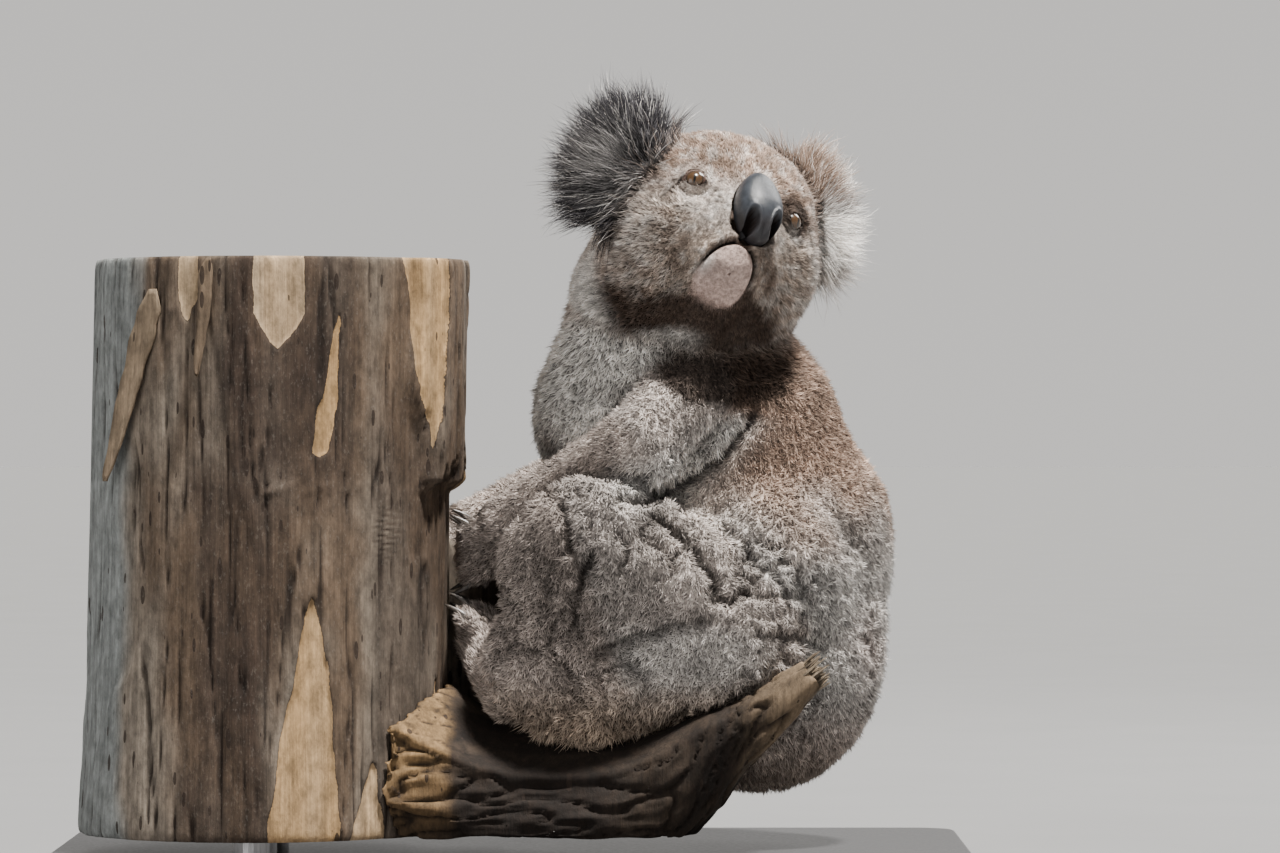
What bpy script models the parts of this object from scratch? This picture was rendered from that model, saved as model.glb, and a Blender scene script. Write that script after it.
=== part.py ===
"""A life-size still model of a koala sitting in the fork of a eucalyptus trunk.

Units are metres, +Z is up, and the origin is on the underside of the display base,
below the middle of the view. The animal's back is towards +X, its left side is
towards -Y, and it holds the trunk, which stands at -X. The head is turned to the
left and looks up. The solids are the animal's outline out to the tips of its coat.
"""

import math

import bmesh
import bpy
import numpy as np
from mathutils import Matrix, Vector

# Driving dimensions.
GAP = 0.0003  # between pieces that touch
GROWTH = 0.0010  # how much larger than a piece its bed in a neighbour is
VOXEL = 0.004  # grain of the blended shapes before they are thinned out

BASE_THICKNESS = 0.022
BASE_CENTRE = Vector((-0.095, -0.01, 0.0))
BASE_CORNER = 0.03  # radius of its corners
BASE_EDGE = 0.002  # rounding of its upper edge
BASE_SIZE = Vector((0.68, 0.42, BASE_THICKNESS))
ROD_RADIUS = 0.016
ROD_SPACING = 0.15  # between the two rods
PERCH_FOOT = 0.035  # height of the sawn underside of the perch
TRUNK_TOP = 0.46
TRUNK_AXIS = Vector((-0.2815, -0.035, 0.0))
TRUNK_RADIUS = 0.133
PLATE_FOOT = 0.285  # where the loose bark plate on the animal's side ends
PLATE_RISE = 0.012  # height over which it reaches its thickness
PLATE_THICKNESS = 0.012
TRUNK_LEAN = 0.022  # how far the axis moves towards +X for each metre of height

HEAD_CENTRE = Vector((0.056, -0.045, 0.478))
HEAD_HEADING = math.radians(-60.0)  # where the face points, about the vertical
HEAD_PITCH = math.radians(24.0)  # how far the face looks up
HEAD_ROLL = math.radians(19.0)  # the animal's left ear hangs lower
EYE_RADIUS = 0.0105
EYE_SIDE, EYE_AHEAD, EYE_UP = 0.0390, 0.0385, 0.008
EYE_TILT = 0.003  # the left eye sits lower and the right one higher by this
SOCKET_RADIUS = 0.0125
NOSE_CENTRE = Vector((0.0035, 0.063, -0.0070))
NOSE_RADII = Vector((0.0185, 0.0145, 0.028))
EAR_WIDTH, EAR_DEPTH = 0.047, 0.021  # half of each, out to the tips of the fringe
# Each ear's side, how far up the head it is and half its height.
EARS = (("ear_left", 1.0, 0.054, 0.063), ("ear_right", -1.0, 0.037, 0.072))

CLAW_RADIUS = 0.0030
CLAW_REACH = 0.013  # from a digit's end to its claw's tip, along the trunk
DIGIT_LIFT = 0.014  # of a digit's end over the bark
DIGIT_TIP_RADIUS = 0.0078
CLAW_CLEARANCE = 0.0036  # from a digit to its claw

FUR_GREY = (0.36, 0.33, 0.31)
FUR_BROWN = (0.40, 0.32, 0.27)
FUR_WHITE = (0.72, 0.69, 0.66)


def clear_scene():
    """Start from an empty scene."""
    for thing in list(bpy.data.objects):
        bpy.data.objects.remove(thing, do_unlink=True)


def material(name, colour, roughness=0.8, metallic=0.0):
    """A plain finish with the part's own colour."""
    finish = bpy.data.materials.new(name)
    finish.use_nodes = True
    shader = finish.node_tree.nodes["Principled BSDF"]
    shader.inputs["Base Color"].default_value = (*colour, 1.0)
    shader.inputs["Roughness"].default_value = roughness
    shader.inputs["Metallic"].default_value = metallic
    return finish


def head_axes():
    """The head's own left, forward and up directions, as the columns of a matrix."""
    level = math.cos(HEAD_PITCH)
    forward = Vector((
        level * math.cos(HEAD_HEADING),
        level * math.sin(HEAD_HEADING),
        math.sin(HEAD_PITCH),
    ))
    left = Vector((0.0, 0.0, 1.0)).cross(forward).normalized()
    up = forward.cross(left)
    rolled_left = left * math.cos(HEAD_ROLL) - up * math.sin(HEAD_ROLL)
    rolled_up = up * math.cos(HEAD_ROLL) + left * math.sin(HEAD_ROLL)
    return Matrix((rolled_left, forward, rolled_up)).transposed()


HEAD_AXES = head_axes()


def in_head(left, ahead, up):
    """A point given in the head's own directions, measured from its centre."""
    return HEAD_CENTRE + HEAD_AXES @ Vector((left, ahead, up))


class Ball:
    """An ellipsoid with its own axes."""

    def __init__(self, centre, radii, axes=None):
        self.centre = Vector(centre)
        self.radii = np.array(radii)
        self.axes = axes or Matrix.Identity(3)

    def distance(self, points):
        """How far each point is outside the surface, close to it."""
        local = (points - np.array(self.centre)) @ np.array(self.axes)
        scaled = np.linalg.norm(local / self.radii, axis=1)
        slope = np.linalg.norm(local / self.radii**2, axis=1) + 1e-9
        return scaled * (scaled - 1.0) / slope

    def add_to(self, mesh):
        made = bmesh.ops.create_icosphere(mesh, subdivisions=4, radius=1.0)
        shape = self.axes.to_4x4() @ Matrix.Diagonal((*self.radii, 1.0))
        bmesh.ops.transform(
            mesh, matrix=Matrix.Translation(self.centre) @ shape, verts=made["verts"]
        )


class Limb:
    """A round bar that tapers from one ball to another."""

    def __init__(self, start, start_radius, end, end_radius):
        self.start, self.end = Vector(start), Vector(end)
        self.start_radius, self.end_radius = start_radius, end_radius

    def distance(self, points):
        along = np.array(self.end - self.start)
        offset = points - np.array(self.start)
        place = np.clip(offset @ along / (along @ along), 0.0, 1.0)
        radius = self.start_radius + (self.end_radius - self.start_radius) * place
        return np.linalg.norm(offset - place[:, None] * along, axis=1) - radius

    def add_to(self, mesh):
        balls = bmesh.new()
        for centre, radius in ((self.start, self.start_radius), (self.end, self.end_radius)):
            bmesh.ops.create_icosphere(
                balls, subdivisions=3, radius=radius, matrix=Matrix.Translation(centre)
            )
        corners = [mesh.verts.new(vertex.co) for vertex in balls.verts]
        balls.free()
        hull = bmesh.ops.convex_hull(mesh, input=corners)
        inner = [v for v in hull["geom_interior"] if isinstance(v, bmesh.types.BMVert)]
        bmesh.ops.delete(mesh, geom=inner, context="VERTS")


def blended_distance(shapes, softness, points):
    """The distance to all the shapes, flowing into one another over softness."""
    total = shapes[0].distance(points)
    for shape in shapes[1:]:
        other = shape.distance(points)
        mix = np.clip(0.5 + 0.5 * (other - total) / softness, 0.0, 1.0)
        total = other * (1.0 - mix) + total * mix - softness * mix * (1.0 - mix)
    return total


def settle_on_surface(mesh, shapes, softness, growth=0.0):
    """Move a mesh's corners onto the blended surface of the shapes."""
    points = np.empty(len(mesh.vertices) * 3)
    mesh.vertices.foreach_get("co", points)
    points = points.reshape(-1, 3)
    step = 1e-4
    for _ in range(6):
        here = blended_distance(shapes, softness, points)
        slope = np.stack(
            [
                (blended_distance(shapes, softness, points + step * axis) - here) / step
                for axis in np.eye(3)
            ],
            axis=1,
        )
        size = np.maximum((slope**2).sum(axis=1), 0.05)
        points -= ((here - growth) / size)[:, None] * slope
    mesh.vertices.foreach_set("co", points.ravel())
    mesh.update()


def linked(name, mesh, finish):
    """An object in the scene with its finish."""
    thing = bpy.data.objects.new(name, mesh)
    bpy.context.collection.objects.link(thing)
    mesh.materials.clear()
    mesh.materials.append(finish)
    mesh.shade_smooth()
    return thing


def evaluated(thing):
    """The object with its modifiers turned into plain mesh."""
    bpy.context.view_layer.update()
    graph = bpy.context.evaluated_depsgraph_get()
    mesh = bpy.data.meshes.new_from_object(thing.evaluated_get(graph))
    thing.modifiers.clear()
    thing.data = mesh
    return thing


def blended(name, shapes, softness, faces, finish, voxel=VOXEL):
    """One closed body that flows over all the shapes, with about that many triangles."""
    mesh = bpy.data.meshes.new(name)
    draft = bmesh.new()
    for shape in shapes:
        shape.add_to(draft)
    draft.to_mesh(mesh)
    draft.free()
    thing = linked(name, mesh, finish)
    remesh = thing.modifiers.new("fuse", "REMESH")
    remesh.mode = "VOXEL"
    remesh.voxel_size = voxel
    evaluated(thing)
    settle_on_surface(thing.data, shapes, softness)
    triangulate(thing)
    thin = thing.modifiers.new("thin out", "DECIMATE")
    thin.ratio = faces / len(thing.data.polygons)
    evaluated(thing)
    settle_on_surface(thing.data, shapes, softness)
    return thing


def triangulate(thing):
    draft = bmesh.new()
    draft.from_mesh(thing.data)
    bmesh.ops.triangulate(draft, faces=draft.faces)
    draft.to_mesh(thing.data)
    draft.free()


def grown(thing, growth=GROWTH):
    """A cutter a little larger than the object, to make its bed in a neighbour."""
    cutter = thing.copy()
    cutter.data = thing.data.copy()
    bpy.context.collection.objects.link(cutter)
    for vertex, normal in zip(cutter.data.vertices, thing.data.vertex_normals):
        vertex.co += normal.vector * growth
    cutter.hide_render = True
    cutter.display_type = "WIRE"
    return cutter


def carve(thing, *others):
    """Make room in the object for each of its neighbours."""
    for other in others:
        cutter = grown(other)
        cut = thing.modifiers.new("bed", "BOOLEAN")
        cut.operation = "DIFFERENCE"
        cut.object = cutter
        evaluated(thing)
        bpy.data.objects.remove(cutter, do_unlink=True)
    keep_largest(thing)


def keep_largest(thing):
    """Drop the chips that a cut leaves beside the main body."""
    draft = bmesh.new()
    draft.from_mesh(thing.data)
    waiting = set(draft.verts)
    islands = []
    while waiting:
        front = [waiting.pop()]
        island = set(front)
        while front:
            for edge in front.pop().link_edges:
                for vertex in edge.verts:
                    if vertex not in island:
                        island.add(vertex)
                        front.append(vertex)
        waiting -= island
        islands.append(island)
    islands.sort(key=len)
    for island in islands[:-1]:
        bmesh.ops.delete(draft, geom=list(island), context="VERTS")
    bmesh.ops.dissolve_degenerate(draft, dist=1e-6, edges=draft.edges)
    draft.to_mesh(thing.data)
    draft.free()


def beyond(thing, name, point, direction, finish):
    """A new object with the part of this one that lies beyond a plane."""
    direction = Vector(direction).normalized()
    draft = bmesh.new()
    draft.from_mesh(thing.data)
    bmesh.ops.bisect_plane(
        draft,
        geom=draft.verts[:] + draft.edges[:] + draft.faces[:],
        plane_co=Vector(point) + direction * GAP / 2,
        plane_no=direction,
        clear_inner=True,
        dist=1e-7,
    )
    rim = [edge for edge in draft.edges if edge.is_boundary]
    made = bmesh.ops.edgeloop_fill(draft, edges=rim)
    bmesh.ops.triangulate(draft, faces=made["faces"])
    face_outward(draft)
    mesh = bpy.data.meshes.new(name)
    draft.to_mesh(mesh)
    draft.free()
    piece = linked(name, mesh, finish)
    keep_largest(piece)
    return piece


def parted(thing, plane, near_name, far_name, near_finish, far_finish):
    """Cut an object in two, far being the side that the plane's direction points to."""
    point, direction = plane
    far = beyond(thing, far_name, point, direction, far_finish)
    near = beyond(thing, near_name, point, -Vector(direction), near_finish)
    bpy.data.objects.remove(thing, do_unlink=True)
    return near, far


def trunk_middle(height):
    return TRUNK_AXIS + Vector((TRUNK_LEAN * (height - PERCH_FOOT), 0.0, height))


def trunk_radius(angle, height):
    """The trunk is slightly lobed, widens towards its foot and carries a loose plate."""
    lobes = 0.012 * math.sin(3 * angle + 0.8) + 0.010 * math.sin(5 * angle + 2.0 + 4 * height)
    flare = 0.045 * math.exp(-(height - PERCH_FOOT) / 0.12)
    rise = min(max((height - PLATE_FOOT) / PLATE_RISE, 0.0), 1.0)
    plate = PLATE_THICKNESS * rise * max(math.cos(angle), 0.0) ** 0.5
    return TRUNK_RADIUS * (1.0 + lobes + flare) + plate


def on_bark(angle, height, lift=0.0):
    """A point over the bark, by its angle from +X about the trunk and its height."""
    out = Vector((math.cos(angle), math.sin(angle), 0.0))
    return trunk_middle(height) + out * (trunk_radius(angle, height) + lift)


def face_outward(draft):
    bmesh.ops.recalc_face_normals(draft, faces=draft.faces)
    if draft.calc_volume(signed=True) < 0.0:
        bmesh.ops.reverse_faces(draft, faces=draft.faces)


def ring_solid(name, rings, finish):
    """A closed body through rings with the same number of points."""
    draft = bmesh.new()
    loops = [[draft.verts.new(point) for point in ring] for ring in rings]
    count = len(loops[0])
    for lower, upper in zip(loops, loops[1:]):
        for i in range(count):
            j = (i + 1) % count
            draft.faces.new((lower[i], lower[j], upper[j], upper[i]))
    draft.faces.new(reversed(loops[0]))
    draft.faces.new(loops[-1])
    face_outward(draft)
    mesh = bpy.data.meshes.new(name)
    draft.to_mesh(mesh)
    draft.free()
    return linked(name, mesh, finish)


def make_trunk(bark):
    """The cut length of trunk, sawn flat at the top and the foot."""
    sides = 28
    heights = [*np.linspace(PERCH_FOOT, PLATE_FOOT, 6)]
    heights += [*np.linspace(PLATE_FOOT + PLATE_RISE, TRUNK_TOP, 5)]
    rings = [[on_bark(math.tau * i / sides, z) for i in range(sides)] for z in heights]
    return ring_solid("perch_trunk", rings, bark)


def smooth_path(points, steps):
    """Points and radii along a smooth curve through the given ones."""
    path = []
    for i in range(len(points) - 1):
        a, b = points[max(i - 1, 0)], points[i]
        c, d = points[i + 1], points[min(i + 2, len(points) - 1)]
        for k in range(steps):
            t = k / steps
            path.append(
                0.5 * (2 * b + (c - a) * t + (2 * a - 5 * b + 4 * c - d) * t**2
                       + (3 * b - a - 3 * c + d) * t**3)
            )
    path.append(points[-1])
    return path


def make_branch(bark, trunk):
    """The broken branch that leaves the trunk at the fork and carries the thigh."""
    # Each stop is x, y, z and the radius there.
    stops = [
        Vector((-0.200, -0.045, 0.080, 0.088)),
        Vector((-0.116, -0.066, 0.050, 0.073)),
        Vector((-0.044, -0.086, 0.049, 0.060)),
        Vector((0.014, -0.104, 0.066, 0.042)),
        Vector((0.066, -0.120, 0.106, 0.026)),
        Vector((0.128, -0.130, 0.157, 0.014)),
    ]
    sides, steps = 12, 2
    path = smooth_path([np.array(stop) for stop in stops], steps)
    rings = []
    for i, stop in enumerate(path):
        before, after = path[max(i - 1, 0)], path[min(i + 1, len(path) - 1)]
        forward = Vector(after[:3] - before[:3]).normalized()
        side = forward.cross(Vector((0.0, 0.0, 1.0))).normalized()
        up = side.cross(forward)
        ring = []
        for k in range(sides):
            angle = math.tau * k / sides
            knots = 1.0 + 0.07 * math.sin(2 * angle + 9 * i / len(path)) + 0.04 * math.sin(5 * angle)
            spoke = side * math.cos(angle) + up * math.sin(angle)
            ring.append(Vector(stop[:3]) + spoke * stop[3] * knots)
        rings.append(ring)
    whole = ring_solid("perch_branch", rings, bark)
    branch = beyond(whole, "branch_draft", (0.0, 0.0, PERCH_FOOT), (0.0, 0.0, 1.0), bark)
    bpy.data.objects.remove(whole, do_unlink=True)
    branch.name = "perch_branch"
    carve(branch, trunk)
    return branch


def make_stand(lacquer, steel):
    """A flat base and two short rods up to the sawn foot of the trunk."""
    draft = bmesh.new()
    bmesh.ops.create_cube(draft, size=1.0)
    size = Matrix.Diagonal((*BASE_SIZE, 1.0))
    place = Matrix.Translation(BASE_CENTRE + Vector((0.0, 0.0, BASE_THICKNESS / 2)))
    bmesh.ops.transform(draft, matrix=place @ size, verts=draft.verts)
    upright = [
        edge for edge in draft.edges
        if abs(edge.verts[0].co.z - edge.verts[1].co.z) > BASE_THICKNESS / 2
    ]
    bmesh.ops.bevel(
        draft, geom=upright, offset=BASE_CORNER, segments=6, profile=0.5, affect="EDGES"
    )
    rim = [
        edge for edge in draft.edges
        if all(vertex.co.z > BASE_THICKNESS * 0.9 for vertex in edge.verts)
    ]
    bmesh.ops.bevel(
        draft, geom=rim, offset=BASE_EDGE, segments=2, profile=0.5, affect="EDGES"
    )
    mesh = bpy.data.meshes.new("stand_base")
    draft.to_mesh(mesh)
    draft.free()
    linked("stand_base", mesh, lacquer)
    low, high = BASE_THICKNESS + GAP, PERCH_FOOT - GAP
    for number, side in enumerate((-0.5, 0.5), start=1):
        draft = bmesh.new()
        place = trunk_middle(0.5 * (low + high)) + Vector((0.0, side * ROD_SPACING, 0.0))
        bmesh.ops.create_cone(
            draft, cap_ends=True, segments=24, radius1=ROD_RADIUS, radius2=ROD_RADIUS,
            depth=high - low, matrix=Matrix.Translation(place),
        )
        mesh = bpy.data.meshes.new(f"stand_rod_{number}")
        draft.to_mesh(mesh)
        draft.free()
        linked(f"stand_rod_{number}", mesh, steel)


def make_nose(skin):
    """The bare spoon-shaped nose pad, broader and flatter at its foot."""
    shapes = [
        Ball(in_head(*NOSE_CENTRE), NOSE_RADII, HEAD_AXES),
        Ball(in_head(0.0025, 0.064, -0.0225), (0.019, 0.0145, 0.014), HEAD_AXES),
    ]
    return blended("nose", shapes, 0.006, 150, skin, voxel=0.002)


def make_eyes(glass):
    eyes = []
    for name, side in (("eye_left", 1.0), ("eye_right", -1.0)):
        draft = bmesh.new()
        bmesh.ops.create_icosphere(draft, subdivisions=2, radius=EYE_RADIUS)
        centre = in_head(side * EYE_SIDE, EYE_AHEAD, EYE_UP - side * EYE_TILT)
        bmesh.ops.translate(draft, vec=centre, verts=draft.verts)
        mesh = bpy.data.meshes.new(name)
        draft.to_mesh(mesh)
        draft.free()
        eyes.append(linked(name, mesh, glass))
    return eyes


def make_sockets(fur):
    """Balls in front of the eyes, whose room in the head lets the eyes show."""
    sockets = []
    for side in (1.0, -1.0):
        draft = bmesh.new()
        bmesh.ops.create_icosphere(draft, subdivisions=2, radius=SOCKET_RADIUS)
        centre = in_head(side * (EYE_SIDE + 0.002), EYE_AHEAD + 0.009, EYE_UP - side * EYE_TILT)
        bmesh.ops.translate(draft, vec=centre, verts=draft.verts)
        mesh = bpy.data.meshes.new("socket")
        draft.to_mesh(mesh)
        draft.free()
        sockets.append(linked("socket", mesh, fur))
    return sockets


def make_ears(fur):
    """Round ears with a deep fringe, the left one held a little higher, the right one fuller."""
    ears = []
    for name, side, rise, half_height in EARS:
        turn = Matrix.Rotation(side * math.radians(-28.0), 3, "Z")
        tilt = Matrix.Rotation(side * math.radians(-12.0), 3, "Y")
        axes = HEAD_AXES @ turn @ tilt
        disc = Ball(in_head(side * 0.093, -0.004, rise), (EAR_WIDTH, EAR_DEPTH, half_height), axes)
        root = Ball(in_head(side * 0.062, -0.006, rise), (0.034, 0.024, 0.040), axes)
        ears.append(blended(name, [disc, root], 0.014, 180, fur, voxel=0.003))
    return ears


def head_shapes():
    """The head's masses: braincase, brow, cheeks, muzzle, jaw and chin."""
    shapes = [
        Ball(in_head(0.002, -0.014, 0.010), (0.080, 0.065, 0.076), HEAD_AXES),
        Ball(in_head(0.008, 0.006, 0.030), (0.064, 0.047, 0.046), HEAD_AXES),
        Limb(in_head(0.0, 0.006, -0.012), 0.044, in_head(0.0, 0.044, -0.017), 0.025),
        Ball(in_head(0.0, 0.000, -0.040), (0.052, 0.050, 0.036), HEAD_AXES),
        Limb(in_head(0.0, 0.016, -0.047), 0.027, in_head(0.0, 0.034, -0.047), 0.020),
    ]
    for side in (1.0, -1.0):
        cheek = in_head(side * 0.040, -0.002, -0.020)
        shapes.append(Ball(cheek, (0.043, 0.048, 0.046), HEAD_AXES))
    return shapes


def torso_shapes():
    """The trunk of the body from the rump to the neck, as it curls towards the tree."""
    shapes = [
        Ball((0.088, 0.020, 0.172), (0.102, 0.112, 0.115)),
        Ball((0.075, 0.020, 0.252), (0.120, 0.107, 0.106)),
        Ball((0.036, 0.012, 0.338), (0.118, 0.095, 0.088)),
        Limb((0.022, 0.004, 0.360), 0.098, (0.024, -0.022, 0.424), 0.080),
    ]
    for side in (1.0, -1.0):
        haunch = (0.094, MIDDLE_Y + side * HAUNCH_SPREAD, 0.232)
        shapes.append(Ball(haunch, (0.062, 0.066, 0.062)))
    return shapes


def make_body(fur, white):
    """Head, neck and torso flow together and are parted at the throat and neck."""
    body = blended("body", torso_shapes() + head_shapes(), 0.022, 1480, fur)
    nape = (Vector((0.036, -0.022, 0.418)), Vector((0.16, -0.30, 0.94)))
    shoulders = (Vector((0.036, 0.0, 0.372)), Vector((-0.05, -0.12, 0.99)))
    below, head = parted(body, nape, "below", "head", fur, fur)
    torso, neck = parted(below, shoulders, "torso", "neck", fur, white)
    return head, neck, torso


def digit(start, end, bend, radius, tip_radius):
    """A finger or toe of two bones that arches away from the straight line."""
    middle = (Vector(start) + Vector(end)) / 2 + Vector(bend)
    return [
        Limb(start, radius, middle, radius),
        Limb(middle, radius, end, tip_radius),
    ]


def make_claw(name, end, angle, tip_height, horn):
    """A hooked claw from just outside a digit's end down to the bark."""
    tip = on_bark(angle, tip_height, lift=0.0006)
    root = end + (tip - end).normalized() * (DIGIT_TIP_RADIUS + CLAW_CLEARANCE)
    along = tip - root
    out = Vector((math.cos(angle), math.sin(angle), 0.0))
    sides, steps = 6, 3
    arch = 0.0022
    rings = []
    for i in range(steps + 1):
        t = i / steps
        centre = root + along * t + out * arch * math.sin(math.pi * t)
        forward = (along + out * math.pi * arch * math.cos(math.pi * t)).normalized()
        side = forward.cross(out).normalized()
        up = side.cross(forward)
        radius = CLAW_RADIUS * (1.0 - t) ** 0.7 + 0.0003
        rings.append([
            centre + radius * (side * 0.7 * math.cos(a) + up * math.sin(a))
            for a in (math.tau * k / sides for k in range(sides))
        ])
    return ring_solid(name, rings, horn)


# The limbs are given for the left side, which is towards -Y. The right limbs are
# mirrored in the body's middle plane and then set by a small shift. The left hand and
# foot hold the bark where it faces the animal, and the right ones reach further round.
MIDDLE_Y = 0.012
HAUNCH_SPREAD = 0.070  # of the flanks' fullness from the middle
SIDES = (
    ("left", 1.0, Vector((0.0, 0.0, 0.0)), math.radians(-2.0)),
    ("right", -1.0, Vector((0.0, 0.0, -0.004)), math.radians(40.0)),
)
HAND_HEIGHT = 0.243
FOOT_HEIGHT = 0.178


def sided(side, shift, x, y, z):
    """A point of the left limb, or its partner on the right."""
    return Vector((x, MIDDLE_Y + side * (y - MIDDLE_Y), z)) + shift


def spread_digits(palm, side, grip, fan, first_heights, reach):
    """Each digit's root, end and claw, fanned out from the palm over the bark."""
    digits = []
    for turn, rise in zip(fan, first_heights):
        angle = grip + side * math.radians(turn)
        height = palm.z + rise
        root = palm + Vector((0.0, 0.006 * math.sin(angle), 0.4 * rise))
        end = on_bark(angle, height, lift=DIGIT_LIFT)
        claw_way = math.copysign(reach, rise)
        digits.append((root, end, angle, height + claw_way))
    return digits


def hand_digits(palm, side, grip):
    """Three fingers over two opposed thumbs."""
    return spread_digits(
        palm, side, grip, (5.0, -3.0, 9.0, 2.0, -5.0), (-0.016, -0.020, 0.012, 0.019, 0.015),
        CLAW_REACH,
    )


def foot_digits(palm, side, grip):
    """The opposed big toe, which has no claw, and four clawed toes."""
    return spread_digits(
        palm, side, grip, (10.0, 7.0, 1.0, -5.0, -11.0), (-0.012, 0.014, 0.022, 0.022, 0.014),
        CLAW_REACH,
    )


def make_claws(limb, digits, horn, clawless=()):
    for number, (_, end, angle, tip_height) in enumerate(digits, start=1):
        if number not in clawless:
            make_claw(f"claw_{limb}_{number}", end, angle, tip_height, horn)


def make_arm(label, side, shift, grip, fur):
    """Upper arm, forearm and hand, which flow together and are parted by thin cuts."""
    shoulder = sided(side, shift, 0.036, -0.066, 0.362)
    elbow = sided(side, shift, -0.002, -0.108, 0.322)
    palm = on_bark(grip, HAND_HEIGHT + shift.z, lift=0.023)
    wrist = palm.lerp(elbow, 0.20) + Vector((0.0, 0.0, 0.004))
    elbow_fur = sided(side, shift, 0.002, -0.113, 0.309)
    digits = hand_digits(palm, side, grip)
    shapes = [
        Limb(shoulder, 0.040, elbow, 0.031),
        Limb(elbow, 0.031, wrist, 0.027),
        Ball(elbow_fur, (0.025, 0.025, 0.023)),
        Ball(palm, (0.021, 0.024, 0.023)),
    ]
    for root, end, _, _ in digits:
        shapes += digit(root, end, (0.004, 0.0, 0.0), 0.0085, DIGIT_TIP_RADIUS)
    arm = blended("arm", shapes, 0.010, 350, fur)
    elbow_cut = (elbow, (wrist - elbow).normalized() + (elbow - shoulder).normalized())
    wrist_cut = (wrist, palm - elbow)
    upper, lower = parted(arm, elbow_cut, f"upper_arm_{label}", "lower", fur, fur)
    forearm, hand = parted(lower, wrist_cut, f"forearm_{label}", f"hand_{label}", fur, fur)
    return upper, forearm, hand, digits


def make_leg(label, side, shift, fur):
    """The folded leg: a broad thigh and, in front of it, the shank."""
    hip = sided(side, shift, 0.066, -0.078, 0.190)
    knee = sided(side, shift, -0.030, -0.118, 0.252)
    ankle = sided(side, shift, -0.086, -0.100, 0.160)
    crease = sided(side, shift, -0.030, -0.112, 0.200)
    shapes = [
        Limb(hip, 0.064, knee, 0.052),
        Limb(knee, 0.050, ankle, 0.036),
        Ball(sided(side, shift, -0.030, -0.112, 0.236), (0.080, 0.046, 0.066)),
        Ball(sided(side, shift, 0.032, -0.088, 0.152), (0.088, 0.048, 0.042)),
        Ball(sided(side, shift, -0.040, -0.096, 0.134), (0.058, 0.042, 0.040)),
    ]
    leg = blended("leg", shapes, 0.016, 350, fur)
    cut = (crease, Vector((-0.86, 0.0, -0.30)))
    return parted(leg, cut, f"thigh_{label}", f"shank_{label}", fur, fur)


def make_foot(label, side, shift, grip, fur):
    """The broad foot from the heel up to the toes, which hold the bark."""
    heel = sided(side, shift, -0.094, -0.092, 0.140)
    palm = on_bark(grip, FOOT_HEIGHT + shift.z, lift=0.026)
    digits = foot_digits(palm, side, grip)
    shapes = [Limb(heel, 0.025, palm, 0.023)]
    for root, end, _, _ in digits:
        shapes += digit(root, end, (0.004, 0.0, 0.0), 0.0092, DIGIT_TIP_RADIUS)
    foot = blended(f"foot_{label}", shapes, 0.009, 260, fur)
    return foot, digits


def main():
    clear_scene()
    fur = material("fur_grey", FUR_GREY, 0.95)
    back_fur = material("fur_brown", FUR_BROWN, 0.95)
    white = material("fur_white", FUR_WHITE, 0.95)
    nose_skin = material("nose_skin", (0.10, 0.11, 0.13), 0.40)
    glass = material("eye", (0.10, 0.04, 0.02), 0.08)
    horn = material("claw_horn", (0.05, 0.045, 0.04), 0.35)
    bark = material("bark", (0.30, 0.22, 0.16), 0.80)
    lacquer = material("stand_lacquer", (0.04, 0.04, 0.043), 0.35)
    steel = material("stand_metal", (0.45, 0.45, 0.46), 0.35, 1.0)

    trunk = make_trunk(bark)
    branch = make_branch(bark, trunk)
    make_stand(lacquer, steel)

    head, neck, torso = make_body(back_fur, white)
    nose = make_nose(nose_skin)
    eyes = make_eyes(glass)
    ears = make_ears(fur)
    sockets = make_sockets(fur)
    carve(head, nose, *eyes, *sockets)
    for socket in sockets:
        bpy.data.objects.remove(socket, do_unlink=True)
    for ear in ears:
        carve(ear, head, neck)

    carve(torso, branch, trunk)
    for label, side, shift, grip in SIDES:
        upper, forearm, hand, fingers = make_arm(label, side, shift, grip, fur)
        thigh, shank = make_leg(label, side, shift, fur)
        foot, toes = make_foot(label, side, shift, grip, fur)
        make_claws(f"hand_{label}", fingers, horn)
        make_claws(f"foot_{label}", toes, horn, clawless=(1,))
        carve(foot, trunk, branch, torso)
        for piece in (thigh, shank):
            carve(piece, branch, trunk, torso, foot)
        carve(hand, trunk, foot)
        for piece in (upper, forearm, hand):
            carve(piece, torso, neck, thigh, shank)


main()
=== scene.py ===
"""The looks of the koala model: one skin with its coat, eyes, nose, claws, bark and stand.

Units are metres and +Z is up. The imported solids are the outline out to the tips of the
coat. The skin lies inside them by the coat's depth, and tufts stand on it.
"""

import math
from contextlib import contextmanager

import bmesh
import bpy
import numpy as np
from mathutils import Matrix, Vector, noise
from mathutils.bvhtree import BVHTree
from mathutils.kdtree import KDTree


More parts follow.
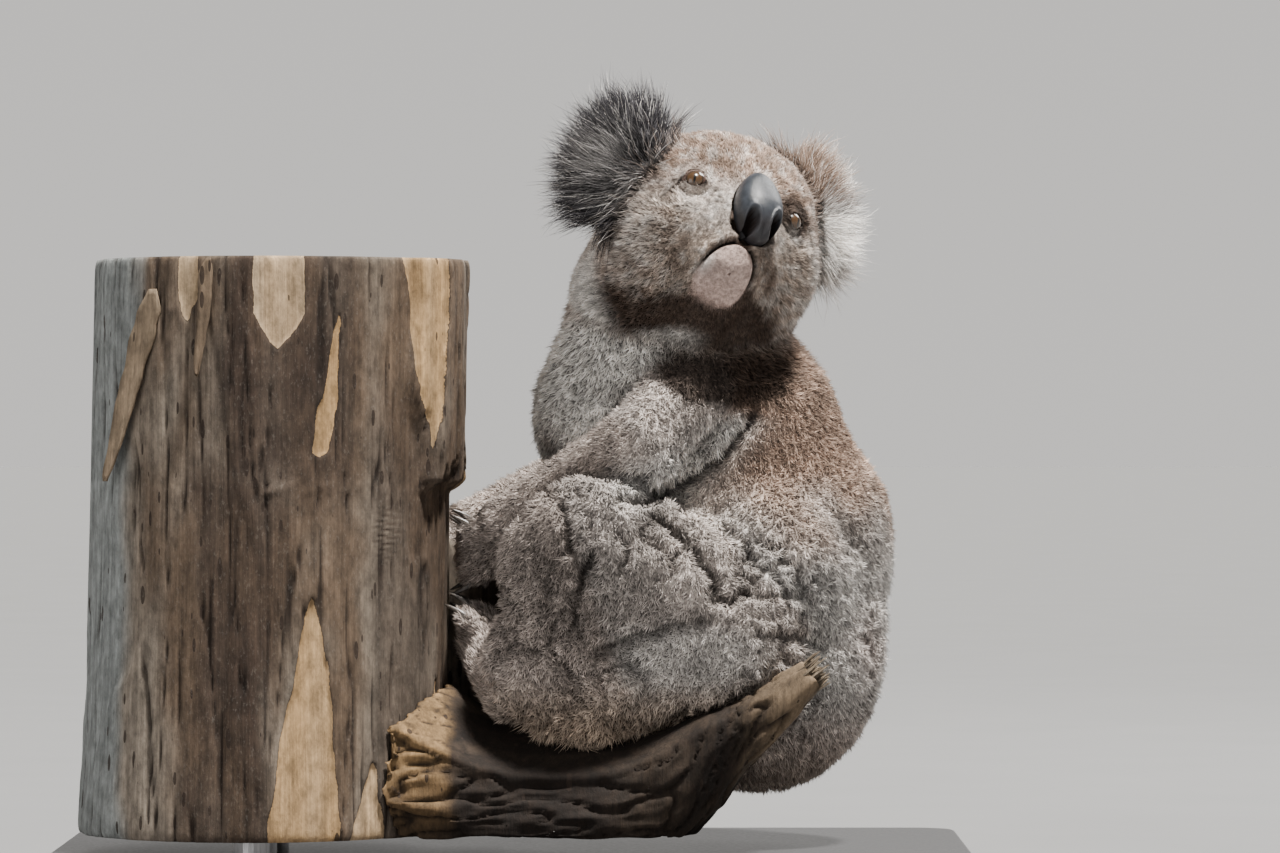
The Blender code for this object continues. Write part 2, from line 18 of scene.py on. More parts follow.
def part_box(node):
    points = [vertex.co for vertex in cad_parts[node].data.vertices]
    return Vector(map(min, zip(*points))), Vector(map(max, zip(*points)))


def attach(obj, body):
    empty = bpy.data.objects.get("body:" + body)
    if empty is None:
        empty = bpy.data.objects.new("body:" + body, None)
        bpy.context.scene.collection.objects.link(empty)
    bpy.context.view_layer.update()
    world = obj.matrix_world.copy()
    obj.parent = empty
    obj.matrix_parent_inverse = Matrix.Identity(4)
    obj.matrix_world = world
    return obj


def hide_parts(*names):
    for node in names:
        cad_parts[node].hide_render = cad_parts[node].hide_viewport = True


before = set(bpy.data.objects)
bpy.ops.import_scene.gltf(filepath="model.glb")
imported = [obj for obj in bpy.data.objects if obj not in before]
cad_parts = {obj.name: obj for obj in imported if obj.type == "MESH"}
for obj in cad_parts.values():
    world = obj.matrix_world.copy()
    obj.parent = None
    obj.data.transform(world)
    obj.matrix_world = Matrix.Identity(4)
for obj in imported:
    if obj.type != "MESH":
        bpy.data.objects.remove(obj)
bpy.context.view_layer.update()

PIECE_TRIANGLES = 190_000  # the most in one piece of the coat
RANDOM = np.random.default_rng(7)

# The head's own directions, as in the solids.
HEAD_CENTRE = np.array((0.056, -0.045, 0.478))
HEAD_HEADING, HEAD_PITCH, HEAD_ROLL = (math.radians(a) for a in (-60.0, 24.0, 19.0))
FACE_TURN = math.radians(7.5)  # of the eyes and mouth about the nose, beyond the head's roll
SKIN_GRAIN = 0.0026  # spacing of the skin's corners
SEAM_COVER = 0.0008  # how far the solids swell to close the cuts between them

FLESH = ["head", "neck", "torso"] + [
    f"{part}_{side}"
    for side in ("left", "right")
    for part in ("upper_arm", "forearm", "hand", "thigh", "shank", "foot")
]
# How deep the coat is over the skin, by region.
COAT_DEPTH = {
    "head": 0.0026, "neck": 0.0065, "torso": 0.0058, "upper_arm": 0.0056, "forearm": 0.0050,
    "hand": 0.0026, "thigh": 0.0056, "shank": 0.0052, "foot": 0.0028, "ear": 0.0060,
}

LASH_BROWN = np.array((0.030, 0.022, 0.018))
GREY = np.array((0.560, 0.482, 0.436))
PALE = np.array((0.78, 0.75, 0.72))
WHITE = np.array((0.92, 0.89, 0.85))
BROWN = np.array((0.43, 0.300, 0.228))
TAN = np.array((0.56, 0.435, 0.33))
SLATE = np.array((0.037, 0.035, 0.040))
UMBER = np.array((0.095, 0.062, 0.046))
PINK = np.array((0.60, 0.45, 0.40))


# ---------------------------------------------------------------- small helpers

def limited(values):
    """Values kept between 0 and 1."""
    return np.clip(values, 0.0, 1.0)


def smooth_step(low, high, value):
    t = limited((value - low) / (high - low))
    return t * t * (3.0 - 2.0 * t)


def bell(offset, width):
    """1 at no offset, falling off smoothly over a width on either side."""
    return np.exp(-((offset / width) ** 2))


def reach_from(points, place, size=1.0):
    """Distances from a place, measured in sizes."""
    return np.linalg.norm((points - place) / size, axis=1)


def unit(vectors):
    return vectors / np.maximum(np.linalg.norm(vectors, axis=-1, keepdims=True), 1e-9)


def head_axes():
    """Rows are the head's left, forward and up directions."""
    level = math.cos(HEAD_PITCH)
    forward = Vector((
        level * math.cos(HEAD_HEADING), level * math.sin(HEAD_HEADING), math.sin(HEAD_PITCH)
    ))
    left = Vector((0.0, 0.0, 1.0)).cross(forward).normalized()
    up = forward.cross(left)
    rolled_left = left * math.cos(HEAD_ROLL) - up * math.sin(HEAD_ROLL)
    rolled_up = up * math.cos(HEAD_ROLL) + left * math.sin(HEAD_ROLL)
    return np.array((rolled_left, forward, rolled_up))


HEAD_AXES = head_axes()


def to_head(points):
    """World points in the head's own left, forward and up."""
    return (points - HEAD_CENTRE) @ HEAD_AXES.T


def to_face(points):
    """As to_head, in line with the eyes and mouth."""
    left, ahead, up = to_head(points).T
    turn, lean = math.cos(FACE_TURN), math.sin(FACE_TURN)
    return np.stack((left * turn - up * lean, ahead, left * lean + up * turn), axis=1)


def from_head(points):
    return np.asarray(points) @ HEAD_AXES + HEAD_CENTRE


def noise_at(points, scale, seed=0.0):
    """Smooth noise from -1 to 1 at each point."""
    shift = Vector((seed, 2.0 * seed, 3.0 * seed))
    return np.array([noise.noise(Vector(point) * scale + shift) for point in points])


def box_centre(node):
    low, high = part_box(node)
    return np.array((low + high) / 2)


def mesh_points(mesh):
    points = np.empty(len(mesh.vertices) * 3, dtype=np.float32)
    mesh.vertices.foreach_get("co", points)
    return points.reshape(-1, 3).astype(float)


def set_points(mesh, points):
    mesh.vertices.foreach_set("co", points.astype(np.float32).ravel())
    mesh.update()


def point_normals(mesh):
    normals = np.empty(len(mesh.vertices) * 3, dtype=np.float32)
    mesh.vertex_normals.foreach_get("vector", normals)
    return normals.reshape(-1, 3).astype(float)


def add_object(name, mesh, finish):
    """Put a piece in the scene, on the model's one body."""
    piece = bpy.data.objects.new(name, mesh)
    bpy.context.scene.collection.objects.link(piece)
    if finish:
        mesh.materials.clear()
        mesh.materials.append(finish)
    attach(piece, "root")
    return piece


def mesh_from(name, draft):
    mesh = bpy.data.meshes.new(name)
    draft.to_mesh(mesh)
    draft.free()
    return mesh


@contextmanager
def editing(mesh):
    """A bmesh of a mesh, written back to it at the end."""
    draft = bmesh.new()
    draft.from_mesh(mesh)
    yield draft
    draft.to_mesh(mesh)
    draft.free()


def applied(thing):
    """The object with its modifiers turned into plain mesh."""
    bpy.context.view_layer.update()
    graph = bpy.context.evaluated_depsgraph_get()
    mesh = bpy.data.meshes.new_from_object(thing.evaluated_get(graph))
    thing.modifiers.clear()
    thing.data = mesh
    return mesh


def fast_mesh(name, points, corners, sides):
    """A mesh from flat arrays: corner indices and the number of sides of each face."""
    mesh = bpy.data.meshes.new(name)
    mesh.vertices.add(len(points))
    mesh.vertices.foreach_set("co", points.astype(np.float32).ravel())
    mesh.loops.add(len(corners))
    mesh.loops.foreach_set("vertex_index", corners.astype(np.int32))
    mesh.polygons.add(len(sides))
    starts = np.concatenate(([0], np.cumsum(sides)[:-1])).astype(np.int32)
    mesh.polygons.foreach_set("loop_start", starts)
    mesh.update(calc_edges=True)
    mesh.shade_smooth()
    return mesh


def ring_mesh(name, points, around, capped=True):
    """Walls between closed rings of points, with the first and the last ring filled in."""
    rings = len(points) // around
    i, k = np.divmod(np.arange((rings - 1) * around), around)
    j = (k + 1) % around
    here, above = i * around, (i + 1) * around
    walls = np.stack((here + k, here + j, above + j, above + k), axis=1)
    corners, sides = [walls.ravel()], [np.full(len(walls), 4)]
    if capped:
        corners += [np.arange(around)[::-1], (rings - 1) * around + np.arange(around)]
        sides.append(np.array((around, around)))
    return fast_mesh(name, points, np.concatenate(corners), np.concatenate(sides))


def add_attribute(mesh, name, kind, values):
    layer = mesh.attributes.new(name, kind, "POINT")
    field = {"FLOAT": "value", "FLOAT_VECTOR": "vector", "FLOAT_COLOR": "color"}[kind]
    layer.data.foreach_set(field, np.ascontiguousarray(values, dtype=np.float32).ravel())


def add_colours(mesh, name, colours):
    opaque = np.concatenate((colours, np.ones((len(colours), 1))), axis=1)
    add_attribute(mesh, name, "FLOAT_COLOR", opaque)


def fill_ramp(ramp, stops):
    """Set a colour ramp from positions with greys or colours."""
    while len(ramp.elements) < len(stops):
        ramp.elements.new(0.5)
    for element, (position, colour) in zip(ramp.elements, stops):
        element.position = position
        element.color = (*colour, 1.0) if hasattr(colour, "__len__") else (colour,) * 3 + (1.0,)


class Nodes:
    """A short way to write a material's nodes."""

    def __init__(self, name):
        self.material = bpy.data.materials.new(name)
        self.material.use_nodes = True
        self.tree = self.material.node_tree
        self.shader = self.tree.nodes["Principled BSDF"]

    def add(self, kind, settings=None, **inputs):
        node = self.tree.nodes.new(kind)
        for key, value in (settings or {}).items():
            setattr(node, key, value)
        for key, value in inputs.items():
            self.put(node.inputs[key.replace("_", " ")], value)
        return node

    def put(self, socket, value):
        if isinstance(value, bpy.types.NodeSocket):
            self.tree.links.new(value, socket)
        elif hasattr(value, "__len__") and len(value) == 3 and socket.type == "RGBA":
            socket.default_value = (*value, 1.0)
        else:
            socket.default_value = value

    def set(self, **inputs):
        for key, value in inputs.items():
            self.put(self.shader.inputs[key.replace("_", " ")], value)

    def attribute(self, name, output="Fac"):
        return self.add("ShaderNodeAttribute", {"attribute_name": name}).outputs[output]

    def noise(self, place, scale, detail=3.0, roughness=0.55):
        node = self.add("ShaderNodeTexNoise", Vector=place, Scale=scale, Detail=detail)
        node.inputs["Roughness"].default_value = roughness
        return node.outputs["Fac"]

    def stretched(self, place, across, along):
        node = self.add("ShaderNodeMapping", Vector=place)
        node.inputs["Scale"].default_value = (across, across, along)
        return node.outputs["Vector"]

    def grain(self, place, across, along, detail=3.0, roughness=0.55):
        """Noise in upright fibres."""
        return self.noise(self.stretched(place, across, along), 1.0, detail, roughness)

    def ramp(self, value, stops):
        node = self.add("ShaderNodeValToRGB", Fac=value)
        fill_ramp(node.color_ramp, stops)
        return node.outputs["Color"]

    def mix(self, a, b, factor, blend="MIX"):
        node = self.add("ShaderNodeMix", {"data_type": "RGBA", "blend_type": blend})
        self.put(node.inputs[0], factor)
        self.put(node.inputs[6], a)
        self.put(node.inputs[7], b)
        return node.outputs[2]

    def maths(self, operation, a, b=0.0, kind="ShaderNodeMath", output=0):
        node = self.add(kind, {"operation": operation})
        self.put(node.inputs[0], a)
        self.put(node.inputs[1], b)
        return node.outputs[output]

    def times(self, a, b):
        return self.maths("MULTIPLY", a, b)

    def plus(self, a, b):
        return self.maths("ADD", a, b)

    def shaded(self, colour, shade):
        return self.mix(colour, shade, 1.0, "MULTIPLY")

    def mottled(self, colour, value, stops):
        """The colour times a ramp of a value."""
        return self.shaded(colour, self.ramp(value, stops))

    def hypot(self, a, b):
        return self.maths("SQRT", self.plus(self.times(a, a), self.times(b, b)))

    def bump(self, height, strength, distance):
        node = self.add("ShaderNodeBump", Height=height, Strength=strength, Distance=distance)
        self.put(self.shader.inputs["Normal"], node.outputs["Normal"])

    def place(self):
        return self.add("ShaderNodeTexCoord").outputs["Object"]


# ---------------------------------------------------------------- camera, light, floor

def make_stage():
    """Camera at the animal's height with a long lens, soft light and a pale floor."""
    scene = bpy.context.scene
    distance, width, aim_height = 4.5, 0.96, 0.336
    camera = bpy.data.cameras.new("camera")
    camera.sensor_width = 36.0
    camera.lens = 36.0 * distance / width
    camera.clip_end = 50.0
    eye = bpy.data.objects.new("camera", camera)
    eye.location = (0.0, -distance, aim_height)
    eye.rotation_euler = (math.radians(90.0), 0.0, 0.0)
    scene.collection.objects.link(eye)
    scene.camera = eye

    world = bpy.data.worlds.new("studio")
    world.use_nodes = True
    sky = world.node_tree
    split = sky.nodes.new("ShaderNodeSeparateXYZ")
    sky.links.new(sky.nodes.new("ShaderNodeTexCoord").outputs["Generated"], split.inputs[0])
    ramp = sky.nodes.new("ShaderNodeValToRGB")
    sky.links.new(split.outputs["Z"], ramp.inputs[0])
    # Height above the horizon and brightness: pale behind the model, dimmer overhead.
    stops = ((0.0, 0.76), (0.100, 0.72), (0.220, 0.42), (0.450, 0.24), (1.0, 0.20))
    fill_ramp(ramp.color_ramp, [
        (height, (value, 0.975 * value, 0.945 * value)) for height, value in stops
    ])
    sky.links.new(ramp.outputs[0], sky.nodes["Background"].inputs["Color"])
    sky.nodes["Background"].inputs["Strength"].default_value = 1.0
    scene.world = world

    aim = Vector((0.03, -0.03, 0.32))
    lights = (
        # name, kind, place, size, power, colour
        ("key", "SUN", (0.60, -0.52, 2.60), 0.10, 12.0, (1.0, 0.965, 0.91)),
        ("fill", "AREA", (-2.4, -2.6, 1.2), 2.4, 34.0, (1.0, 0.985, 0.965)),
        ("back", "AREA", (1.6, 1.6, 2.2), 1.0, 60.0, (1.0, 0.98, 0.95)),
    )
    for name, kind, place, size, power, colour in lights:
        lamp = bpy.data.lights.new(name, kind)
        if kind == "SUN":
            lamp.angle = size
        else:
            lamp.size = size
        lamp.energy = power
        lamp.color = colour
        holder = bpy.data.objects.new(name, lamp)
        holder.location = place
        holder.rotation_euler = (aim - Vector(place)).to_track_quat("-Z", "Y").to_euler()
        scene.collection.objects.link(holder)

    draft = bmesh.new()
    bmesh.ops.create_grid(draft, x_segments=1, y_segments=1, size=60.0)
    mesh = mesh_from("floor", draft)
    floor = bpy.data.objects.new("floor", mesh)
    scene.collection.objects.link(floor)
    finish = Nodes("floor")
    tones = ((0.3, (0.180, 0.182, 0.185)), (0.7, (0.188, 0.190, 0.193)))
    finish.set(Base_Color=finish.ramp(finish.noise(finish.place(), 6.0), tones), Roughness=0.9)
    mesh.materials.append(finish.material)


# ---------------------------------------------------------------- the skin's form

def welded_copy(node, grow=0.0, about=None, scale=1.0):
    """A bmesh of a CAD node with its corners joined, swollen or scaled about a point."""
    draft = bmesh.new()
    draft.from_mesh(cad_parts[node].data)
    bmesh.ops.remove_doubles(draft, verts=draft.verts, dist=1e-5)
    draft.normal_update()
    if grow:
        shifts = [vertex.normal * grow for vertex in draft.verts]
        for vertex, shift in zip(draft.verts, shifts):
            vertex.co += shift
    if about is not None:
        centre = Vector(about)
        for vertex in draft.verts:
            vertex.co = centre + (vertex.co - centre) * scale
    return draft


def ear_root(side):
    """Where the pinna leaves the head, inside the fringe's outline."""
    ear = box_centre(f"ear_{side}")
    return ear + 0.42 * (HEAD_CENTRE - ear)


EAR_SCALE = 0.68  # of the bare pinna to the outline of its fringe


def rough_body():
    """All the flesh as one closed mesh of even grain."""
    whole = bmesh.new()
    parts = [(node, SEAM_COVER, None, 1.0) for node in FLESH]
    parts += [(f"ear_{side}", 0.0, ear_root(side), EAR_SCALE) for side in ("left", "right")]
    for node, grow, about, scale in parts:
        draft = welded_copy(node, grow, about, scale)
        piece = mesh_from("piece", draft)
        whole.from_mesh(piece)
        bpy.data.meshes.remove(piece)
    body = bpy.data.objects.new("skin", mesh_from("skin", whole))
    bpy.context.scene.collection.objects.link(body)
    remesh = body.modifiers.new("one surface", "REMESH")
    remesh.mode = "VOXEL"
    remesh.voxel_size = SKIN_GRAIN
    applied(body)
    return body


def keep_largest(mesh):
    """Drop the small shells that the remesh leaves inside."""
    with editing(mesh) as draft:
        waiting = set(draft.verts)
        islands = []
        while waiting:
            front = [waiting.pop()]
            island = set(front)
            while front:
                for edge in front.pop().link_edges:
                    other = edge.verts[0] if edge.verts[0] not in island else edge.verts[1]
                    if other not in island:
                        island.add(other)
                        front.append(other)
            waiting -= island
            islands.append(island)
        islands.sort(key=len)
        for island in islands[:-1]:
            bmesh.ops.delete(draft, geom=list(island), context="VERTS")


def edge_pairs(mesh):
    pairs = np.empty(len(mesh.edges) * 2, dtype=np.int32)
    mesh.edges.foreach_get("vertices", pairs)
    return pairs.reshape(-1, 2)


def neighbour_mean(values, pairs, count):
    """The mean of each corner's neighbours."""
    a, b = pairs[:, 0], pairs[:, 1]
    number = np.bincount(a, minlength=count) + np.bincount(b, minlength=count)
    columns = values.reshape(count, -1)
    total = np.stack(
        [
            np.bincount(a, columns[b, k], count) + np.bincount(b, columns[a, k], count)
            for k in range(columns.shape[1])
        ],
        axis=1,
    )
    return (total / np.maximum(number, 1)[:, None]).reshape(values.shape)


def even_out(points, pairs, rounds):
    """Smooth without shrinking."""
    for _ in range(rounds):
        for step in (0.50, -0.52):
            points = points + step * (neighbour_mean(points, pairs, len(points)) - points)
    return points


def relax(points, pairs, weight, rounds):
    """Draw the surface tight where the weight is 1, as a membrane over a hollow."""
    for _ in range(rounds):
        shift = neighbour_mean(points, pairs, len(points)) - points
        points = points + 0.7 * weight[:, None] * shift
    return points


def spread(values, pairs, count, rounds):
    for _ in range(rounds):
        values = 0.5 * values + 0.5 * neighbour_mean(values, pairs, count)
    return values


def refine_face(mesh):
    """Finer grain over the face, and finer still round the eyes, nose and mouth."""
    eyes = [box_centre("eye_left"), box_centre("eye_right")]
    chin = from_head((-0.010, 0.050, -0.050))
    rounds = (
        [(eyes[0], 0.024), (eyes[1], 0.026), (box_centre("nose"), 0.034), (chin, 0.036)],
        [(eyes[0], 0.0150), (eyes[1], 0.0165), (from_head((-0.012, 0.056, -0.044)), 0.024)],
    )
    for spots in rounds:
        with editing(mesh) as draft:
            edges = [
                edge for edge in draft.edges
                if any((edge.verts[0].co - Vector(spot)).length < reach for spot, reach in spots)
            ]
            bmesh.ops.subdivide_edges(draft, edges=edges, cuts=1, use_grid_fill=True, smooth=0.0)
            many_sided = [face for face in draft.faces if len(face.verts) > 4]
            bmesh.ops.triangulate(draft, faces=many_sided)


REGIONS = FLESH + ["ear_left", "ear_right"]
KINDS = np.array([
    name.rsplit("_", 1)[0] if name.endswith(("_left", "_right")) else name for name in REGIONS
])


def region_finder():
    """A function from points to the number of the CAD node nearest to each."""
    points, faces, owners = [], [], []
    for number, node in enumerate(REGIONS):
        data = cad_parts[node].data
        offset = len(points)
        points += [vertex.co.copy() for vertex in data.vertices]
        for polygon in data.polygons:
            faces.append([offset + index for index in polygon.vertices])
            owners.append(number)
    tree = BVHTree.FromPolygons(points, faces)

    def owner_of(places):
        return np.array([owners[tree.find_nearest(Vector(place))[2]] for place in places])

    return owner_of


# The flesh in groups that touch one another along a crease.
GROUPS = {
    "trunk": ("torso", "neck"), "head": ("head",),
    "left_arm": ("upper_arm_left", "forearm_left", "hand_left"),
    "right_arm": ("upper_arm_right", "forearm_right", "hand_right"),
    "left_leg": ("thigh_left", "shank_left", "foot_left"),
    "right_leg": ("thigh_right", "shank_right", "foot_right"),
}
# The depth of the crease between two groups.
CREASES = (
    ("left_arm", "trunk", 0.0062), ("right_arm", "trunk", 0.0050), ("head", "trunk", 0.0060),
    ("left_arm", "left_leg", 0.0085), ("right_arm", "right_leg", 0.0060),
)


def group_shares(owner, pairs, rounds):
    """How much each place belongs to each group, softly across the borders."""
    found = {}
    for group, names in GROUPS.items():
        inside = np.isin(owner, [REGIONS.index(name) for name in names]).astype(float)
        found[group] = spread(inside, pairs, len(owner), rounds)
    return found


# Folds of the flesh on the side towards -Y: each is a run in X and Z with its depth and width.
FOLDS = (
    # along the lower edge of the near upper arm, round the loose skin of its elbow
    (((0.086, 0.346), (0.078, 0.334), (0.063, 0.315), (0.039, 0.298), (0.016, 0.287),
      (0.000, 0.284), (-0.014, 0.286)), 0.0120, 0.0046),
    # between the haunch and the flank
    (((0.015, 0.277), (0.039, 0.251), (0.0565, 0.224), (0.055, 0.210)), 0.0145, 0.0056),
    (((0.055, 0.214), (0.068, 0.208), (0.080, 0.216)), 0.0125, 0.0052),
    # two on the bent knee
    (((-0.058, 0.280), (-0.053, 0.262), (-0.052, 0.248)), 0.0105, 0.0046),
    (((-0.033, 0.243), (-0.043, 0.221), (-0.0475, 0.190)), 0.0135, 0.0050),
    # under the knee and along the haunch's foot
    (((-0.028, 0.170), (-0.004, 0.180), (0.024, 0.188), (0.050, 0.194)), 0.0090, 0.0060),
    (((0.088, 0.184), (0.112, 0.181), (0.136, 0.174)), 0.0080, 0.0042),
    # over the flank and the haunch
    (((0.064, 0.262), (0.076, 0.252), (0.086, 0.234)), 0.0085, 0.0034),
    (((0.098, 0.228), (0.110, 0.214), (0.128, 0.206)), 0.0070, 0.0032),
    (((-0.015, 0.262), (-0.008, 0.246), (-0.012, 0.232)), 0.0070, 0.0030),
)


def beside(points, run, width):
    """As nearness, seen along Y and only on the near side."""
    flat = tuple((x, 0.0, z) for x, z in run)
    near_side = smooth_step(-0.035, -0.060, points[:, 1])
    return nearness(points * (1.0, 0.0, 1.0), flat, width) * near_side


def nearness(points, run, width):
    """1 on a run of points, falling off over a width."""
    nearest = np.full(len(points), np.inf)
    for start, end in zip(run, run[1:]):
        a, along = np.array(start), np.array(end) - np.array(start)
        place = limited((points - a) @ along / (along @ along))
        nearest = np.minimum(nearest, np.linalg.norm(points - a - place[:, None] * along, axis=1))
    return bell(nearest, width)


def crumple(points, scale, seed):
    """Deep along the borders of rough cells, as loose woolly skin crumples."""
    warped = points + 0.006 * np.stack([noise_at(points, 70.0, seed + k) for k in range(3)], axis=1)
    near = np.array([noise.voronoi(Vector(point) * scale)[0][:2] for point in warped])
    border = bell(near[:, 1] - near[:, 0], 0.16)
    return border * smooth_step(-0.12, 0.25, noise_at(points, 24.0, seed + 9.0))


def press_folds(points, normals, shares, kind_share):
    """Sink the skin along creases, folds and crumples."""
    sunk = np.zeros(len(points))
    shoulder = smooth_step(0.330, 0.352, points[:, 2]) * smooth_step(-0.02, 0.02, points[:, 0])
    nape = 0.9 * smooth_step(0.005, -0.030, to_head(points)[:, 1])
    for one, other, depth in CREASES:
        joined = shoulder if one.endswith("arm") and other == "trunk" else 0.0
        joined = nape if one == "head" else joined
        crease = depth * (1.0 - joined)
        sunk = np.maximum(sunk, crease * limited(4.0 * shares[one] * shares[other]) ** 1.3)
    # The folds wander, and come and go along their length.
    wander = np.stack([
        noise_at(points, 85.0, 41.0 + k) + 0.5 * noise_at(points, 210.0, 44.0 + k)
        for k in range(3)
    ], axis=1)
    fade = smooth_step(-0.45, 0.30, noise_at(points, 48.0, 47.0))
    for number, (run, depth, width) in enumerate(FOLDS):
        strength = 1.0 if number == 0 else 0.72 + 0.28 * fade
        warped = points + (0.0012 if number == 0 else 0.0022) * wander
        sunk = np.maximum(sunk, depth * strength * beside(warped, run, width))
    low_torso = kind_share["torso"] * smooth_step(0.31, 0.24, points[:, 2])
    legs = kind_share["thigh"] + kind_share["shank"]
    loose = limited(legs + low_torso + 0.35 * kind_share["upper_arm"])
    loose = loose * (0.45 + 0.55 * smooth_step(0.0, -0.05, points[:, 1]))
    rough = 0.0066 * loose * crumple(points, 40.0, 3.0)
    rough = rough + 0.0036 * loose * crumple(points, 92.0, 5.0)
    side, _, up = to_head(points).T
    cheek = kind_share["head"] * smooth_step(0.026, 0.045, np.abs(side))
    cheek = cheek * smooth_step(0.004, -0.016, up)
    rough = rough + 0.0034 * cheek * crumple(points, 110.0, 7.0)
    sunk = np.maximum(sunk, rough) + 0.4 * np.minimum(sunk, rough)
    return points - sunk[:, None] * normals, sunk


EYES = (("eye_left", 1.0), ("eye_right", -1.0))
EYE_RADIUS = 0.0104
LID_THICKNESS = 0.0009
EYE_HALF_WIDTH, EYE_HALF_HEIGHT = 0.0078, 0.0036
# Left and up in the head, from the eye's outer corner.
OUTER_CREASE = ((-0.0468, 0.0112), (-0.0530, 0.0050), (-0.0575, -0.0010), (-0.0613, -0.0056))


def eye_axes(side):
    """The gaze, the way to the outer corner and the lids' up, for the eye on that side."""
    gaze = unit(np.array((side * 0.42, 0.88, -0.14)) @ HEAD_AXES)
    outward = np.array((side * 1.0, -0.42, 0.05)) @ HEAD_AXES
    outward = unit(outward - (outward @ gaze) * gaze)
    return gaze, outward, np.cross(outward, gaze) * side


def eye_opening(points, name, side):
    """Distances of points from the ball, from its axes, and from the edge of the lids."""
    gaze, outward, up = eye_axes(side)
    offset = points - box_centre(name)
    across, rise, ahead = offset @ outward, offset @ up, offset @ gaze
    level = np.clip(1.0 - (np.abs(across) / EYE_HALF_WIDTH) ** 2, 0.0, None)
    half = EYE_HALF_HEIGHT * level ** 0.80
    beyond = np.where(
        np.abs(across) < EYE_HALF_WIDTH, np.abs(rise) - half,
        np.hypot(np.abs(across) - EYE_HALF_WIDTH, rise),
    )
    return across, rise, ahead, half, beyond


def open_lids(points, pairs):
    """Wrap the skin over each eyeball as lids, and sink it behind the opening."""
    lid_edge = np.zeros(len(points))
    behind = -0.002  # how far behind the ball's middle the lids reach
    for name, side in EYES:
        gaze, _, up = eye_axes(side)
        # Draw corners next to the margin onto it.
        across, rise, ahead, half, beyond = eye_opening(points, name, side)
        margin = (ahead > 0.0) & (np.abs(beyond) < 0.00042)
        margin &= (np.abs(across) < 0.94 * EYE_HALF_WIDTH) & (np.hypot(across, rise) < 0.012)
        wanted = np.sign(rise) * (half + 0.00002)
        points = points + np.where(margin, wanted - rise, 0.0)[:, None] * up
        across, rise, ahead, _, beyond = eye_opening(points, name, side)
        side_way = np.hypot(across, rise)
        near = (ahead > behind) & (side_way < 0.0150)
        lid = EYE_RADIUS + LID_THICKNESS + 0.0007 * bell(beyond - 0.0010, 0.0012)
        ball_front = np.sqrt(np.clip(lid**2 - side_way**2, 0.0, None))
        # The upper lid has a fold above it.
        fold = 0.0009 * bell(beyond - 0.0034, 0.0008) * (rise > 0)
        target = ball_front - fold
        outside = near & (beyond > 0.0)
        hold = smooth_step(0.0112, 0.0085, side_way)
        lifted = np.maximum(ahead, target)
        lifted = hold * target + (1.0 - hold) * lifted
        lifted = np.where(side_way < lid, lifted, ahead)
        new_ahead = np.where(outside, lifted, ahead)
        inside = near & (beyond <= 0.0) & (side_way < EYE_HALF_WIDTH + 0.001)
        new_ahead = np.where(inside, 0.50 * ball_front, new_ahead)
        points = points + (new_ahead - ahead)[:, None] * gaze
        lid_edge = np.maximum(lid_edge, bell(np.clip(beyond, 0, None), 0.0019) * near)
        # The cheek rises to meet the lower lid.
        across, rise, ahead, _, beyond = eye_opening(points, name, side)
        side_way = np.hypot(across, rise)
        slope = 0.0087 - 0.50 * (side_way - 0.0070) - 0.0040 * smooth_step(-0.0050, 0.0010, rise)
        below = (ahead > behind) & (side_way > 0.0070) & (beyond > 0.0018)
        lift = np.clip(slope - ahead, 0.0, 0.0026) * smooth_step(0.0185, 0.0130, side_way)
        points = points + np.where(below, lift, 0.0)[:, None] * gaze
        # Blend the mound into the face round about, leaving the lids alone.
        ring = (ahead > behind) & (side_way > 0.0088) & (side_way < 0.0190)
        points = relax(points, pairs, ring * 0.8, 14)
    return points, lid_edge


CHIN = (-0.0016, -0.0638)  # left and up, in line with the mouth
CHIN_HALF = (0.0200, 0.0238)


def chin_level(points):
    """0 at the middle of the chin and 1 along the line of the mouth over it."""
    left, ahead, up = to_face(points).T
    half = np.where(up > CHIN[1], CHIN_HALF[1], 0.62 * CHIN_HALF[1])
    level = np.hypot((left - CHIN[0]) / CHIN_HALF[0], (up - CHIN[1]) / half)
    front = smooth_step(0.018, 0.032, ahead)
    ends = np.where(left < CHIN[0], -0.0560, -0.0600)
    upper = smooth_step(-0.010, 0.004, up - ends)
    return level, front, upper


def carve_mouth(points, normals):
    """The groove between the lips, the swell of the upper lip and the round chin."""
    level, front, upper = chin_level(points)
    gap = (level - 1.0) * CHIN_HALF[0]
    groove = front * upper * bell(gap, 0.0014)
    lip = front * upper * bell(gap - 0.0040, 0.0028)
    chin = front * np.clip(1.0 - level**2, 0.0, None)
    shift = -0.0042 * groove + 0.0016 * lip + 0.0026 * chin
    return points + shift[:, None] * normals, groove


# Left and up in the head.
PITS = ((-0.0262, 0.0047), (-0.0265, -0.0065), (-0.0292, -0.0001), (-0.0246, -0.0020))


def pit_nearness(points):
    """1 in the small dark pits of the muzzle, on both sides."""
    local = to_head(points)
    found = np.zeros(len(points))
    for left, up in PITS:
        for way in (1.0, -1.0):
            reach = np.hypot(local[:, 0] - left * way, local[:, 2] - up)
            found = np.maximum(found, bell(reach, 0.0023))
    return found * smooth_step(0.030, 0.040, local[:, 1])


def nose_bed(points):
    """Sink the skin where the nose pad sits, so that its rim lies in a groove."""
    local = to_face(points) - to_face(box_centre("nose")[None, :])
    level = (local[:, 0] / 0.0168) ** 2 + (local[:, 2] / 0.0296) ** 2
    bed = np.where(local[:, 1] > -0.020, smooth_step(1.28, 0.80, level), 0.0)
    return points - 0.0070 * bed[:, None] * HEAD_AXES[1], bed


